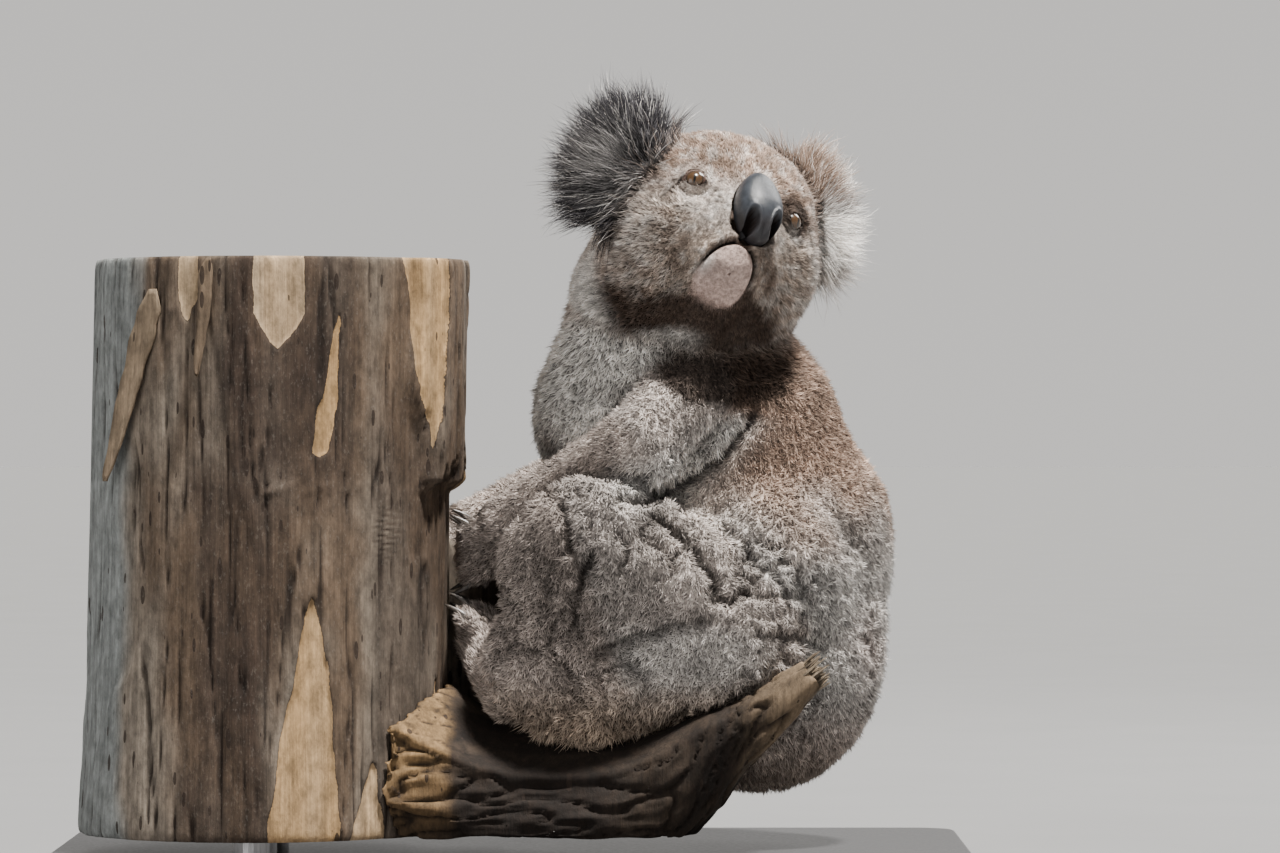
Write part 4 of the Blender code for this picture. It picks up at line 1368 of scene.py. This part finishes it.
def nose_material():
    """Slate leather, pebbled, slightly moist, with painted shade in the nostrils and under the pad.
    """
    skin = Nodes("nose_leather")
    place = skin.place()
    cells = skin.add(
        "ShaderNodeTexVoronoi", {"feature": "DISTANCE_TO_EDGE"}, Vector=place, Scale=1300.0,
    )
    soft = skin.noise(place, 160.0, 4.0)
    colour = skin.ramp(soft, ((0.3, (0.015, 0.018, 0.023)), (0.7, (0.038, 0.044, 0.055))))
    # Painted shade: near black in the nostrils, darker over the pad's underside.
    nose_painted_shade = skin.attribute("nose_painted_shade")
    colour = skin.mix(colour, (0.012, 0.005, 0.004), nose_painted_shade)
    rough = skin.ramp(skin.noise(place, 420.0, 3.0), ((0.3, 0.30), (0.7, 0.48)))
    rough = skin.maths("MAXIMUM", rough, skin.times(nose_painted_shade, 0.95))
    skin.set(Base_Color=colour, Roughness=rough, Specular_IOR_Level=0.5)
    skin.bump(skin.maths("MINIMUM", cells.outputs["Distance"], 0.25), 0.35, 0.0006)
    return skin.material


def make_nose():
    """The pad as a closed dome with nostrils pressed in at its lower corners."""
    centre = box_centre("nose")
    rings, spokes = 60, 110
    turn, lean = math.cos(NOSE_ROLL), math.sin(NOSE_ROLL)
    half_width, half_height, dome = 0.0175, 0.0292, 0.0152
    points, nose_painted_shade = [], []
    for i in range(rings + 1):
        t = math.pi * i / rings
        for k in range(spokes):
            angle = math.tau * k / spokes
            out = math.sin(t) ** 0.85
            x, z = out * math.cos(angle), out * math.sin(angle)
            low, high = max(-z, 0.0), max(z, 0.0)
            width = half_width * (1.0 - 0.10 * high**2 + 0.04 * low * (1.0 - low))
            side = x * width
            up = z * half_height + 0.0005
            ahead = dome * (1.0 - 0.18 * high) * math.copysign(abs(math.cos(t)) ** 0.8, math.cos(t))
            ahead += 0.0022 * math.exp(-((z + 0.15) / 0.5) ** 2) * (t < math.pi / 2)
            pit = 0.0
            for way in (1.0, -1.0):
                # Each nostril is a comma that opens down and outwards.
                u, v = x * way - 0.52, z + 0.60
                turned_u, turned_v = u * 0.92 - v * 0.38, u * 0.38 + v * 0.92
                pit = max(pit, math.exp(-((turned_u / 0.24) ** 2) - (turned_v / 0.34) ** 2))
            groove = math.exp(-((x / 0.07) ** 2)) * max(0.0, min(1.0, (-z - 0.45) * 3.0))
            if t < math.pi / 2:
                ahead -= 0.0170 * float(smooth_step(0.42, 0.62, pit)) + 0.0018 * groove
                rim = math.exp(-(((pit - 0.24) / 0.10) ** 2))
                ahead += 0.0016 * rim * (z < 0.1)
            turned = side * turn + up * lean, ahead, up * turn - side * lean
            points.append(centre + np.array(turned) @ HEAD_AXES)
            # Painted shade: darker towards the pad's underside and near black in the nostrils.
            dark = 0.50 * float(smooth_step(-0.20, -0.65, z))
            if t < math.pi / 2:
                dark = max(dark, float(smooth_step(0.42, 0.50, pit)))
            nose_painted_shade.append(dark)
    mesh = ring_mesh("nose_pad", np.array(points), spokes, capped=False)
    add_attribute(mesh, "nose_painted_shade", "FLOAT", np.array(nose_painted_shade))
    with editing(mesh) as draft:
        bmesh.ops.remove_doubles(draft, verts=draft.verts, dist=1e-6)
        bmesh.ops.recalc_face_normals(draft, faces=draft.faces)
    mesh.shade_smooth()
    piece = add_object(mesh.name, mesh, nose_material())
    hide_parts("nose")


def horn_material():
    horn = Nodes("claw_horn")
    streaks = horn.grain(horn.place(), 900.0, 120.0)
    colour = horn.ramp(streaks, ((0.3, (0.020, 0.017, 0.015)), (0.7, (0.085, 0.070, 0.058))))
    horn.set(Base_Color=colour, Roughness=0.32, Specular_IOR_Level=0.55)
    horn.bump(streaks, 0.2, 0.0002)
    return horn.material


CLAW_ROOT = 0.0095  # how far a claw runs on inside its digit
CLAW_ARCH = 0.0032


def make_claws(finish):
    """Hooked claws whose roots are buried in the digits."""
    trunk = box_centre("perch_trunk")
    for name in sorted(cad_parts):
        if not name.startswith("claw_"):
            continue
        points = mesh_points(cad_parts[name].data)
        tip = points[reach_from(points[:, :2], trunk[:2]).argmin()]
        away = reach_from(points, tip)
        root = points[away > 0.90 * away.max()].mean(axis=0)
        along = unit(tip - root)
        root = root - CLAW_ROOT * along
        outward = unit(np.append((tip - trunk)[:2], 0.0))
        sides, steps = 12, 12
        rings = []
        for i in range(steps + 1):
            t = i / steps
            arch = math.pi * t ** 0.8
            centre = root * (1 - t) + tip * t + outward * CLAW_ARCH * math.sin(arch)
            ahead = unit(tip - root + outward * 0.0100 * math.cos(arch))
            side = unit(np.cross(ahead, outward))
            up = np.cross(side, ahead)
            size = 0.0033 * (1.0 - t) ** 0.62 + 0.00012
            rings.append([
                centre + size * (0.62 * side * math.cos(a) + up * math.sin(a))
                for a in (math.tau * k / sides for k in range(sides))
            ])
        points = np.array(rings).reshape(-1, 3)
        mesh = ring_mesh(name.replace("claw_", "horn_"), points, sides)
        with editing(mesh) as draft:
            bmesh.ops.recalc_face_normals(draft, faces=draft.faces)
        piece = add_object(mesh.name, mesh, finish)
        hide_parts(name)


# ---------------------------------------------------------------- the perch and its stand

INNER_CREAM = np.array((0.36, 0.275, 0.185))
INNER_TAN = np.array((0.36, 0.225, 0.105))
BARK_BROWN = np.array((0.098, 0.068, 0.046))
BARK_GREY = np.array((0.180, 0.150, 0.120))
BARK_DARK = np.array((0.032, 0.020, 0.014))
BARK_BLUE = np.array((0.215, 0.235, 0.235))

# Where the outer bark has come away on the side towards -Y: across from the trunk's middle
# at the foot and top, height of the foot and top, half-width, the shares of its length over
# which it narrows at the foot and at the top, and how tan it is.
SHED_AREAS = (
    (0.007, 0.007, 0.392, 0.480, 0.0190, 0.30, 0.01, 0.3),
    (-0.060, -0.060, 0.412, 0.480, 0.0070, 0.25, 0.01, 0.4),
    (0.121, 0.112, 0.318, 0.480, 0.0165, 0.80, 0.01, 0.8),
    (0.039, 0.055, 0.314, 0.420, 0.0062, 0.03, 0.70, 0.9),
    (0.036, 0.036, 0.020, 0.213, 0.0270, 0.02, 0.85, 0.8),
    (0.082, 0.083, 0.020, 0.092, 0.0130, 0.02, 0.90, 0.4),
    (0.130, 0.126, 0.020, 0.150, 0.0085, 0.02, 0.80, 0.9),
)


TRUNK_RADIUS = 0.133
TRUNK_LEAN = 0.022  # how far its middle moves in X for each metre up


def tall_noise(points, across, along, seed):
    """Smooth noise in tall thin cells."""
    return noise_at(points * (across, across, along), 1.0, seed)


def bark_form(points, axis):
    """Relief and colour of the bark at points around an upright axis."""
    x, y, z = points.T
    across = x - axis[0] - TRUNK_LEAN * (z - axis[2])
    front = y < axis[1]
    ragged = 0.0045 * tall_noise(points, 55.0, 14.0, 1.0)
    ragged = ragged + 0.0018 * tall_noise(points, 190.0, 60.0, 2.0)
    shed = np.zeros(len(points))
    tan = np.zeros(len(points))
    bare = np.full(len(points), -1.0)
    for foot, top, low, high, half, narrow_foot, narrow_top, how_tan in SHED_AREAS:
        t = limited((z - low) / (high - low))
        middle = foot + (top - foot) * t
        width = half * limited(t / narrow_foot) ** 0.75 * limited((1 - t) / narrow_top) ** 0.75
        gap = width - np.abs(across + ragged - middle)
        gap = np.where(front, np.minimum(gap, np.minimum(z - low, high - z)), -1.0)
        bare = np.maximum(bare, gap)
        inside = smooth_step(-0.0008, 0.0012, gap)
        tan = np.where(inside > shed, how_tan, tan)
        shed = np.maximum(shed, inside)
    # The far side has areas of its own.
    loose = tall_noise(points, 17.0, 3.4, 3.1) + 0.45 * tall_noise(points, 55.0, 9.0, 8.7)
    behind = smooth_step(0.0, 0.06, y - axis[1])
    far = smooth_step(0.24, 0.27, loose) * behind
    tan = np.where(far > shed, 0.5 + 0.5 * tall_noise(points, 30.0, 4.0, 4.0), tan)
    shed = np.maximum(shed, far)
    bare = np.maximum(bare, np.where(behind > 0.0, 0.05 * (loose - 0.255), -1.0))

    ridges = tall_noise(points, 70.0, 3.5, 5.0)
    fine = tall_noise(points, 210.0, 12.0, 6.0)
    lines = np.abs(tall_noise(points, 46.0, 2.6, 7.0) + 0.30 * fine)
    cracks = bell(lines, 0.045) * (1.0 - shed)
    plates = tall_noise(points, 24.0, 6.5, 9.0)
    plates = np.sign(plates) * smooth_step(0.0, 0.05, np.abs(plates))
    relief = (0.0010 * ridges + 0.0006 * fine + 0.0007 * plates) * (1.0 - 0.75 * shed)
    relief += -0.0022 * shed - 0.0024 * cracks

    # Dark bands wander down the front, and the far side has some of its own.
    blotch = tall_noise(points, 20.0, 7.0, 12.0) + 0.5 * tall_noise(points, 55.0, 22.0, 13.0)
    soft = 0.020 * blotch
    low_band = smooth_step(0.046, 0.020, np.abs(across + 0.018 + soft))
    low_band = low_band * smooth_step(0.34, 0.28, z)
    high_band = smooth_step(0.060, 0.030, np.abs(across - 0.020 + soft))
    high_band = high_band * smooth_step(0.24, 0.32, z)
    side_band = smooth_step(0.034, 0.014, np.abs(across - 0.108 + soft))
    side_band = side_band * smooth_step(0.40, 0.30, z)
    dark = np.maximum(np.maximum(low_band, high_band), 0.7 * side_band) * front
    dark = np.maximum(dark, behind * smooth_step(0.0, 0.4, tall_noise(points, 11.0, 1.5, 11.0)))
    stain = smooth_step(-0.35, 0.45, tall_noise(points, 30.0, 4.0, 10.0) + 0.6 * blotch)
    colour = mixed(np.tile(BARK_BROWN, (len(points), 1)), BARK_GREY, stain)
    colour = mixed(colour, BARK_DARK, dark * (0.78 + 0.5 * blotch).clip(0.3, 0.95))
    blue = smooth_step(-0.090, -0.106, across + 0.6 * soft) * (1.0 - behind)
    colour = mixed(colour, BARK_BLUE, 0.85 * blue)
    # Old claw marks: pale ridges as painted light, dark grooves as painted shade.
    scratch = np.exp(-(((across - 0.087) / 0.010) ** 2) - ((z - 0.259) / 0.020) ** 2) * front
    strokes = np.sin(1250.0 * (z + 0.22 * across) + 3.0 * ridges) * scratch
    relief += 0.0005 * strokes
    colour = mixed(colour, BARK_GREY, 0.5 * scratch * smooth_step(-0.2, 0.5, strokes))
    colour = mixed(colour, BARK_DARK, 0.6 * smooth_step(0.15, 0.7, -strokes))
    inner = np.tile(INNER_CREAM, (len(points), 1))
    inner = mixed(inner, INNER_TAN, limited(tan + 0.25 * ridges))
    # Painted shade darkens the cracks.
    colour = mixed(colour, 0.5 * BARK_DARK, limited(0.9 * cracks))
    return relief, colour, shed, inner, bare


def bark_material():
    """Painted bark with fibres, pits darkened as painted shade, and a pale bloom."""
    bark = Nodes("bark")
    shed = bark.attribute("shed")
    place = bark.place()
    # The torn edge of the outer bark, with a thin shadow along it.
    torn = bark.times(bark.maths("SUBTRACT", bark.noise(place, 420.0, 3.0), 0.5), 1.6)
    bare = bark.plus(bark.times(bark.plus(bark.attribute("bare"), torn), 0.1), 0.5)
    bared = bark.ramp(bare, ((0.495, 0.0), (0.510, 1.0)))
    paint = bark.mix(bark.attribute("paint", "Color"), bark.attribute("inner", "Color"), bared)
    shadow = bark.ramp(bare, ((0.455, 0.0), (0.490, 0.75), (0.505, 0.75), (0.530, 0.0)))
    paint = bark.mix(paint, (0.020, 0.013, 0.010), shadow)
    fibre = bark.grain(place, 420.0, 11.0, 5.0, 0.65)
    streak = bark.grain(place, 95.0, 4.0, 4.0, 0.6)
    speck = bark.grain(place, 520.0, 260.0, 4.0, 0.7)
    mottle = bark.grain(place, 130.0, 70.0, 5.0, 0.7)
    colour = bark.mottled(paint, streak, ((0.30, 0.72), (0.70, 1.24)))
    colour = bark.mottled(colour, fibre, ((0.30, 0.74), (0.70, 1.22)))
    colour = bark.mottled(colour, mottle, ((0.34, 0.62), (0.66, 1.34)))
    # Short upright pits, darkened as painted shade.
    cells = bark.add(
        "ShaderNodeTexVoronoi", Vector=bark.stretched(place, 155.0, 42.0), Scale=1.0,
    )
    chance = bark.add("ShaderNodeSeparateColor", Color=cells.outputs["Color"])
    size = bark.times(bark.maths("POWER", chance.outputs[0], 3.0), 0.34)
    pit = bark.maths("LESS_THAN", cells.outputs["Distance"], size)
    colour = bark.mix(colour, (0.022, 0.014, 0.010), bark.times(pit, 0.85))
    # Pale dusty bloom on the outer bark.
    dust = bark.ramp(speck, ((0.56, 0.0), (0.66, 1.0)))
    dust = bark.times(bark.times(dust, bark.maths("SUBTRACT", 1.0, shed)), 0.10)
    colour = bark.mix(colour, (0.40, 0.36, 0.32), dust)
    bark.set(Base_Color=colour, Roughness=0.84, Specular_IOR_Level=0.25)
    height = bark.plus(bark.times(fibre, 0.8), bark.times(speck, 0.4))
    bark.bump(bark.maths("SUBTRACT", height, bark.times(pit, 0.9)), 0.6, 0.0018)
    return bark.material


def sawn_material():
    """Pale end grain with growth rings round the trunk's pith and fine checks."""
    wood = Nodes("sawn_wood")
    centre = box_centre("perch_trunk")
    shifted = wood.add("ShaderNodeMapping", Vector=wood.place())
    shifted.inputs["Location"].default_value = (-centre[0], -centre[1], 0.0)
    split = wood.add("ShaderNodeSeparateXYZ", Vector=shifted.outputs[0])
    across, deep = split.outputs[0], split.outputs[1]
    reach = wood.hypot(across, deep)
    warped = wood.plus(reach, wood.times(wood.noise(wood.place(), 16.0, 3.0), 0.020))
    ring = wood.maths("SINE", wood.times(warped, 1250.0))
    colour = wood.ramp(wood.plus(wood.times(ring, 0.5), 0.5), (
        (0.15, (0.33, 0.21, 0.125)), (0.85, (0.46, 0.335, 0.215)),
    ))
    colour = wood.mottled(colour, wood.maths("DIVIDE", reach, 0.13), ((0.45, 0.72), (0.80, 1.0)))
    grain = wood.noise(wood.place(), 700.0, 2.0)
    colour = wood.mottled(colour, grain, ((0.3, 0.80), (0.7, 1.10)))
    wood.set(Base_Color=colour, Roughness=0.72)
    wood.bump(grain, 0.3, 0.0004)
    return wood.material


def paint_bark(mesh, colour, shed, inner=None, bare=None):
    """Store the outer and inner colours, and how far in from the torn edge, in millimetres."""
    add_colours(mesh, "paint", colour)
    add_colours(mesh, "inner", colour if inner is None else inner)
    add_attribute(mesh, "shed", "FLOAT", shed)
    bare = np.full(len(colour), -1.0) if bare is None else bare
    add_attribute(mesh, "bare", "FLOAT", np.clip(1000.0 * bare, -4.0, 4.0))


def trunk_surface():
    """A function from an angle and height to a point on the trunk of the solids."""
    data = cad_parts["perch_trunk"].data
    tree = BVHTree.FromPolygons(
        [vertex.co.copy() for vertex in data.vertices], [tuple(p.vertices) for p in data.polygons]
    )
    middle = Vector(box_centre("perch_trunk"))

    def surface(angle, z):
        origin = Vector((middle.x, middle.y, z))
        way = Vector((math.cos(angle), math.sin(angle), 0.0))
        hit = tree.ray_cast(origin, way)[0]
        return np.array(hit if hit is not None else origin + 0.13 * way)

    return surface


PLATE_FOOT, PLATE_RISE, PLATE_THICKNESS = 0.285, 0.012, 0.012  # as in the solids
BUTTRESS_MIDDLE, BUTTRESS_EDGE = 0.0125, -0.101  # its place in Y and how far it reaches in X


def worn_plate(points, turns, middle):
    """Keep the loose plate on the animal's side only, with strips of uneven length."""
    height = points[:, 2]
    rise = limited((height - PLATE_FOOT) / PLATE_RISE)
    plate = PLATE_THICKNESS * rise * np.sqrt(np.maximum(np.cos(turns), 0.0))
    steps = np.stack((9.0 * turns, 0.0 * turns, 3.0 * height), axis=1)
    strips = noise_at(steps, 1.0, 21.0) + 0.5 * noise_at(steps, 3.0, 22.0)
    foot = PLATE_FOOT + 0.035 * (strips + 0.30).clip(0.0, None)
    reach = np.abs(np.arctan2(np.sin(turns), np.cos(turns))) + 0.16 * noise_at(points, 16.0, 23.0)
    keep = smooth_step(0.0, 0.006, height - foot) * smooth_step(0.62, 0.54, reach)
    outward = unit((points - middle) * (1.0, 1.0, 0.0))
    return points - (plate * (1.0 - keep))[:, None] * outward


def make_trunk(bark, sawn):
    """The trunk from rings about its own axis, with shed areas, cracks and long ridges."""
    surface = trunk_surface()
    low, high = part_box("perch_trunk")
    middle = box_centre("perch_trunk")
    levels = 206
    # Finer towards -Y, where the animal and the fork are seen.
    front, back = ((252, 100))
    turns = np.concatenate((
        np.linspace(-math.pi * 1.05, math.pi * 0.05, front, endpoint=False),
        np.linspace(math.pi * 0.05, math.pi * 0.95, back, endpoint=False),
    ))
    heights = np.linspace(low.z + 0.0005, high.z - 0.0005, levels)
    points = np.array([surface(turn, z) for z in heights for turn in turns])
    points = worn_plate(points, np.tile(turns, levels), middle)
    relief, colour, shed, inner, bare = bark_form(points, middle)
    outward = unit((points - middle) * (1.0, 1.0, 0.0))
    # A buttress of the fork stands up the trunk between the animal's feet.
    x, y, z = points.T
    wall = smooth_step(0.0145, 0.0065, np.abs(y - BUTTRESS_MIDDLE)) * (x > middle[0])
    reach = BUTTRESS_EDGE + 0.006 * noise_at(points, 30.0, 31.0) - x
    wall = wall * smooth_step(0.262, 0.226, z + 0.010 * noise_at(points, 50.0, 32.0))
    # Painted shade: the buttress is near black, as it stands in shade behind the animal.
    colour = mixed(colour, 0.7 * BARK_DARK, 0.9 * wall)
    bare = np.where(wall > 0.02, -1.0, bare)
    points = points + (wall * reach)[:, None] * (1.0, 0.0, 0.0)
    # The rims of the saw cuts are a little broken.
    rim = np.minimum(points[:, 2] - low.z, high.z - points[:, 2])
    relief -= 0.0022 * np.exp(-rim / 0.0030)
    points = points + (relief - 0.0006)[:, None] * outward
    mesh = ring_mesh("trunk_bark", points, len(turns))
    paint_bark(mesh, colour, shed, inner, bare)
    piece = add_object(mesh.name, mesh, bark)
    mesh.materials.append(sawn)
    for sawn_end in (mesh.polygons[-2], mesh.polygons[-1]):
        sawn_end.material_index = 1
        sawn_end.use_smooth = False
    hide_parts("perch_trunk")
    return surface


# Strips of bark that have come loose: angle about the trunk at the top and foot, top, foot,
# width, lift at the foot in metres, and how pale they are.
LOOSE_STRIPS = (
    (-128.0, -145.0, 0.436, 0.296, 0.0270, 0.0075, 0.40),
    (-107.0, -110.0, 0.458, 0.372, 0.0120, 0.0030, 0.15),
    (60.0, 58.0, 0.400, 0.220, 0.0140, 0.0050, 0.30),
    (105.0, 107.0, 0.440, 0.260, 0.0170, 0.0060, 0.60),
    (150.0, 148.0, 0.330, 0.150, 0.0160, 0.0050, 0.40),
)
STRIP_THICKNESS = 0.0017


def make_loose_strips(surface, bark):
    """Long thin curls of bark that still hang by their upper ends."""
    middle = box_centre("perch_trunk")
    rows, columns = 34, 5
    points, colours, corners, sides = [], [], [], []
    for degrees, foot_degrees, top, foot, width, lift, pale in LOOSE_STRIPS:
        start = len(points)
        for layer in (0.0, 1.0):
            for i in range(rows):
                t = i / (rows - 1)
                z = top + (foot - top) * t
                wander = 0.022 * noise.noise(Vector((degrees, 0.0, 3.0 * t)))
                taper = min(1.0, 6.0 * t + 0.2) * (1.0 - t) ** 0.45 + 0.04
                torn = 1.0 + 0.25 * noise.noise(Vector((degrees, 9.0 * t, 1.0)))
                for k in range(columns):
                    s = k / (columns - 1) - 0.5
                    turn = math.radians(degrees + (foot_degrees - degrees) * t) + wander
                    turn += s * width * taper * torn / TRUNK_RADIUS
                    place = surface(turn, z)
                    out = unit((place - middle) * (1.0, 1.0, 0.0))
                    curl = 0.0022 * (2.0 * s) ** 2
                    height = 0.0004 + lift * t**1.6 + curl * t + STRIP_THICKNESS * layer
                    points.append(place + out * height)
                    shade = 1.0 + 0.3 * noise.noise(Vector((degrees, 6.0 * t, 4.0 * s)))
                    colours.append((INNER_CREAM * pale + BARK_BROWN * (1.0 - pale)) * shade)
        size = rows * columns

        def at(layer, i, k):
            return start + layer * size + i * columns + k

        for i in range(rows - 1):
            for k in range(columns - 1):
                corners += [at(0, i, k), at(0, i + 1, k), at(0, i + 1, k + 1), at(0, i, k + 1)]
                corners += [at(1, i, k), at(1, i, k + 1), at(1, i + 1, k + 1), at(1, i + 1, k)]
                sides += [4, 4]
            for k in (0, columns - 1):
                corners += [at(0, i, k), at(1, i, k), at(1, i + 1, k), at(0, i + 1, k)]
                sides.append(4)
        for i in (0, rows - 1):
            for k in range(columns - 1):
                corners += [at(0, i, k), at(0, i, k + 1), at(1, i, k + 1), at(1, i, k)]
                sides.append(4)
    mesh = fast_mesh("bark_strips", np.array(points), np.array(corners), np.array(sides))
    paint_bark(mesh, np.array(colours), np.full(len(points), 0.6))
    with editing(mesh) as draft:
        bmesh.ops.recalc_face_normals(draft, faces=draft.faces)
    add_object(mesh.name, mesh, bark)


BRANCH_TIP = np.array((0.128, -0.130, 0.157))
BRANCH_WAY = unit(np.array((0.74, -0.12, 0.60)))
BRANCH_FOOT = 0.0352  # the lowest height that its bark may reach


def make_branch(bark):
    """The broken branch, ridged along its length, painted dark as shade and paler towards its tip.
    """
    mesh = mesh_from("branch_bark", welded_copy("perch_branch"))
    piece = add_object(mesh.name, mesh, bark)
    remesh = piece.modifiers.new("grain", "REMESH")
    remesh.mode = "VOXEL"
    remesh.voxel_size = 0.0027
    mesh = applied(piece)
    mesh.name = "branch_bark"
    pairs = edge_pairs(mesh)
    points = even_out(mesh_points(mesh), pairs, 10)
    set_points(mesh, points)
    normals = point_normals(mesh)
    # Run the grain along the branch, which rises towards its tip.
    rise = smooth_step(0.0, 0.10, points[:, 0])
    level = np.full(len(points), -0.15)
    along = unit(np.stack((1.0 - 0.3 * rise, level, 0.08 + 0.60 * rise), axis=1))
    lengthwise = (points * along).sum(axis=1)
    around = points - lengthwise[:, None] * along
    grain = np.concatenate((around[:, 1:] * 60.0, lengthwise[:, None] * 9.0), axis=1)
    broad = noise_at(grain, 1.0, 1.0)
    fine = noise_at(grain, 3.1, 2.0)
    lines = bell(noise_at(grain, 1.5, 3.0), 0.07)
    lump = noise_at(points, 22.0, 4.0)
    shift = 0.0030 * broad + 0.0016 * fine + 0.0022 * lump - 0.0040 * lines - 0.0022
    # Close under the animal the bark comes up to its coat.
    under = smooth_step(0.3, 0.8, normals[:, 2]) * smooth_step(0.075, 0.040, points[:, 0])
    shift = shift + under * (np.maximum(shift, 0.0018) - shift)
    points = points + shift[:, None] * normals
    points[:, 2] = np.maximum(points[:, 2], BRANCH_FOOT)
    set_points(mesh, points)
    towards_tip = smooth_step(0.060, 0.115, points[:, 0] + 0.010 * fine)
    brown = smooth_step(-0.2, 0.5, broad + 0.4 * lump)
    # Painted shade: the branch is near black where the animal shades it, paler towards its tip.
    colour = np.tile(0.30 * BARK_DARK, (len(points), 1))
    colour = mixed(colour, 0.24 * BARK_BROWN + 0.12 * BARK_DARK, brown)
    colour = mixed(colour, 0.40 * BARK_GREY + 0.25 * INNER_TAN, towards_tip * 0.80)
    root = smooth_step(-0.132, -0.150, points[:, 0] + 0.008 * broad)
    root = root * smooth_step(0.02, 0.10, points[:, 2])
    colour = mixed(colour, 0.85 * INNER_TAN, 0.6 * root)
    # Painted shade darkens the grooves.
    colour = mixed(colour, 0.4 * BARK_DARK, 0.9 * lines)
    paint_bark(mesh, colour, np.full(len(points), 0.9))
    mesh.shade_smooth()
    mesh.materials.clear()
    mesh.materials.append(bark)
    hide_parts("perch_branch")
    make_splinters(bark)


SPLINTERS = 46
GOLDEN_ANGLE = 2.39996


def make_splinters(bark):
    """Broken fibres that stand out of the branch's torn tip."""
    side = unit(np.cross(BRANCH_WAY, (0.0, 0.0, 1.0)))
    up = np.cross(side, BRANCH_WAY)
    points, colours, corners, sides = [], [], [], []
    for number in range(SPLINTERS):
        angle = number * GOLDEN_ANGLE
        reach = 0.0115 * math.sqrt((number + 0.5) / SPLINTERS)
        outward = math.cos(angle) * side + math.sin(angle) * up
        foot = BRANCH_TIP + reach * outward - 0.010 * BRANCH_WAY
        high = 0.5 + 0.5 * math.sin(angle + 0.6)
        length = 0.014 + 0.012 * high * RANDOM.random()
        lean = 0.10 * RANDOM.normal(size=3)
        way = unit(BRANCH_WAY + lean)
        width = RANDOM.uniform(0.0016, 0.0030)
        start = len(points)
        spin = RANDOM.uniform(0.0, math.tau)
        for t in (0.0, 0.55, 0.9):
            size = width * (1.0 - 0.65 * t)
            for k in range(4):
                a = spin + math.tau * k / 4
                offset = size * (math.cos(a) * side + 0.6 * math.sin(a) * up)
                points.append(foot + way * length * t + offset)
        points.append(foot + way * length)
        shade = RANDOM.uniform(0.6, 1.15)
        wood = (0.5 * BARK_GREY + 0.5 * INNER_CREAM) * shade
        colours += [wood * (0.55 + 0.45 * (k // 4) / 3) for k in range(13)]
        corners += [start + k for k in (3, 2, 1, 0)]
        sides.append(4)
        for i in (start, start + 4):
            for k in range(4):
                j = (k + 1) % 4
                corners += [i + k, i + j, i + 4 + j, i + 4 + k]
                sides.append(4)
        for k in range(4):
            corners += [start + 8 + k, start + 8 + (k + 1) % 4, start + 12]
            sides.append(3)
    mesh = fast_mesh("branch_splinters", np.array(points), np.array(corners), np.array(sides))
    paint_bark(mesh, np.array(colours), np.full(len(points), 0.8))
    mesh.shade_flat()
    add_object(mesh.name, mesh, bark)


def finish_stand():
    """Lacquer on the base and satin steel on the rods."""
    lacquer = Nodes("stand_lacquer")
    texture = lacquer.noise(lacquer.place(), 380.0, 2.0)
    dark = lacquer.ramp(texture, ((0.3, (0.030, 0.030, 0.032)), (0.7, (0.042, 0.042, 0.044))))
    rough = lacquer.ramp(texture, ((0.3, 0.34), (0.7, 0.44)))
    lacquer.set(Base_Color=dark, Roughness=rough, Coat_Weight=0.2)
    lacquer.bump(texture, 0.08, 0.0003)
    steel = Nodes("stand_steel")
    brushed = steel.grain(steel.place(), 900.0, 60.0)
    grey = steel.ramp(brushed, ((0.3, (0.42, 0.42, 0.43)), (0.7, (0.55, 0.55, 0.56))))
    steel.set(Base_Color=grey, Metallic=1.0, Roughness=0.34)
    for name, finish in (("stand_base", lacquer), ("stand_rod_1", steel), ("stand_rod_2", steel)):
        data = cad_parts[name].data
        data.materials.clear()
        data.materials.append(finish.material)


# ---------------------------------------------------------------- the model

make_stage()
SKIN_FINISH = fur_material("skin", tuft=False)
FUR = fur_material("fur", tuft=True)

body, skin_values = make_skin()
unwrap(body)
skin = Skin(body, skin_values)
body.data.materials.clear()
body.data.materials.append(SKIN_FINISH)
add_attribute(body.data, "root", "FLOAT_VECTOR", skin.points)
add_colours(body.data, "marking_and_painted_light", skin.colour)
add_attribute(body.data, "naked", "FLOAT", nakedness(skin.points, skin_values))
dress(skin)

for eye_name, eye_side in EYES:
    make_eye(eye_name, eye_side)
make_nose()
make_claws(horn_material())
bark_finish = bark_material()
trunk_at = make_trunk(bark_finish, sawn_material())
make_loose_strips(trunk_at, bark_finish)
make_branch(bark_finish)
finish_stand()
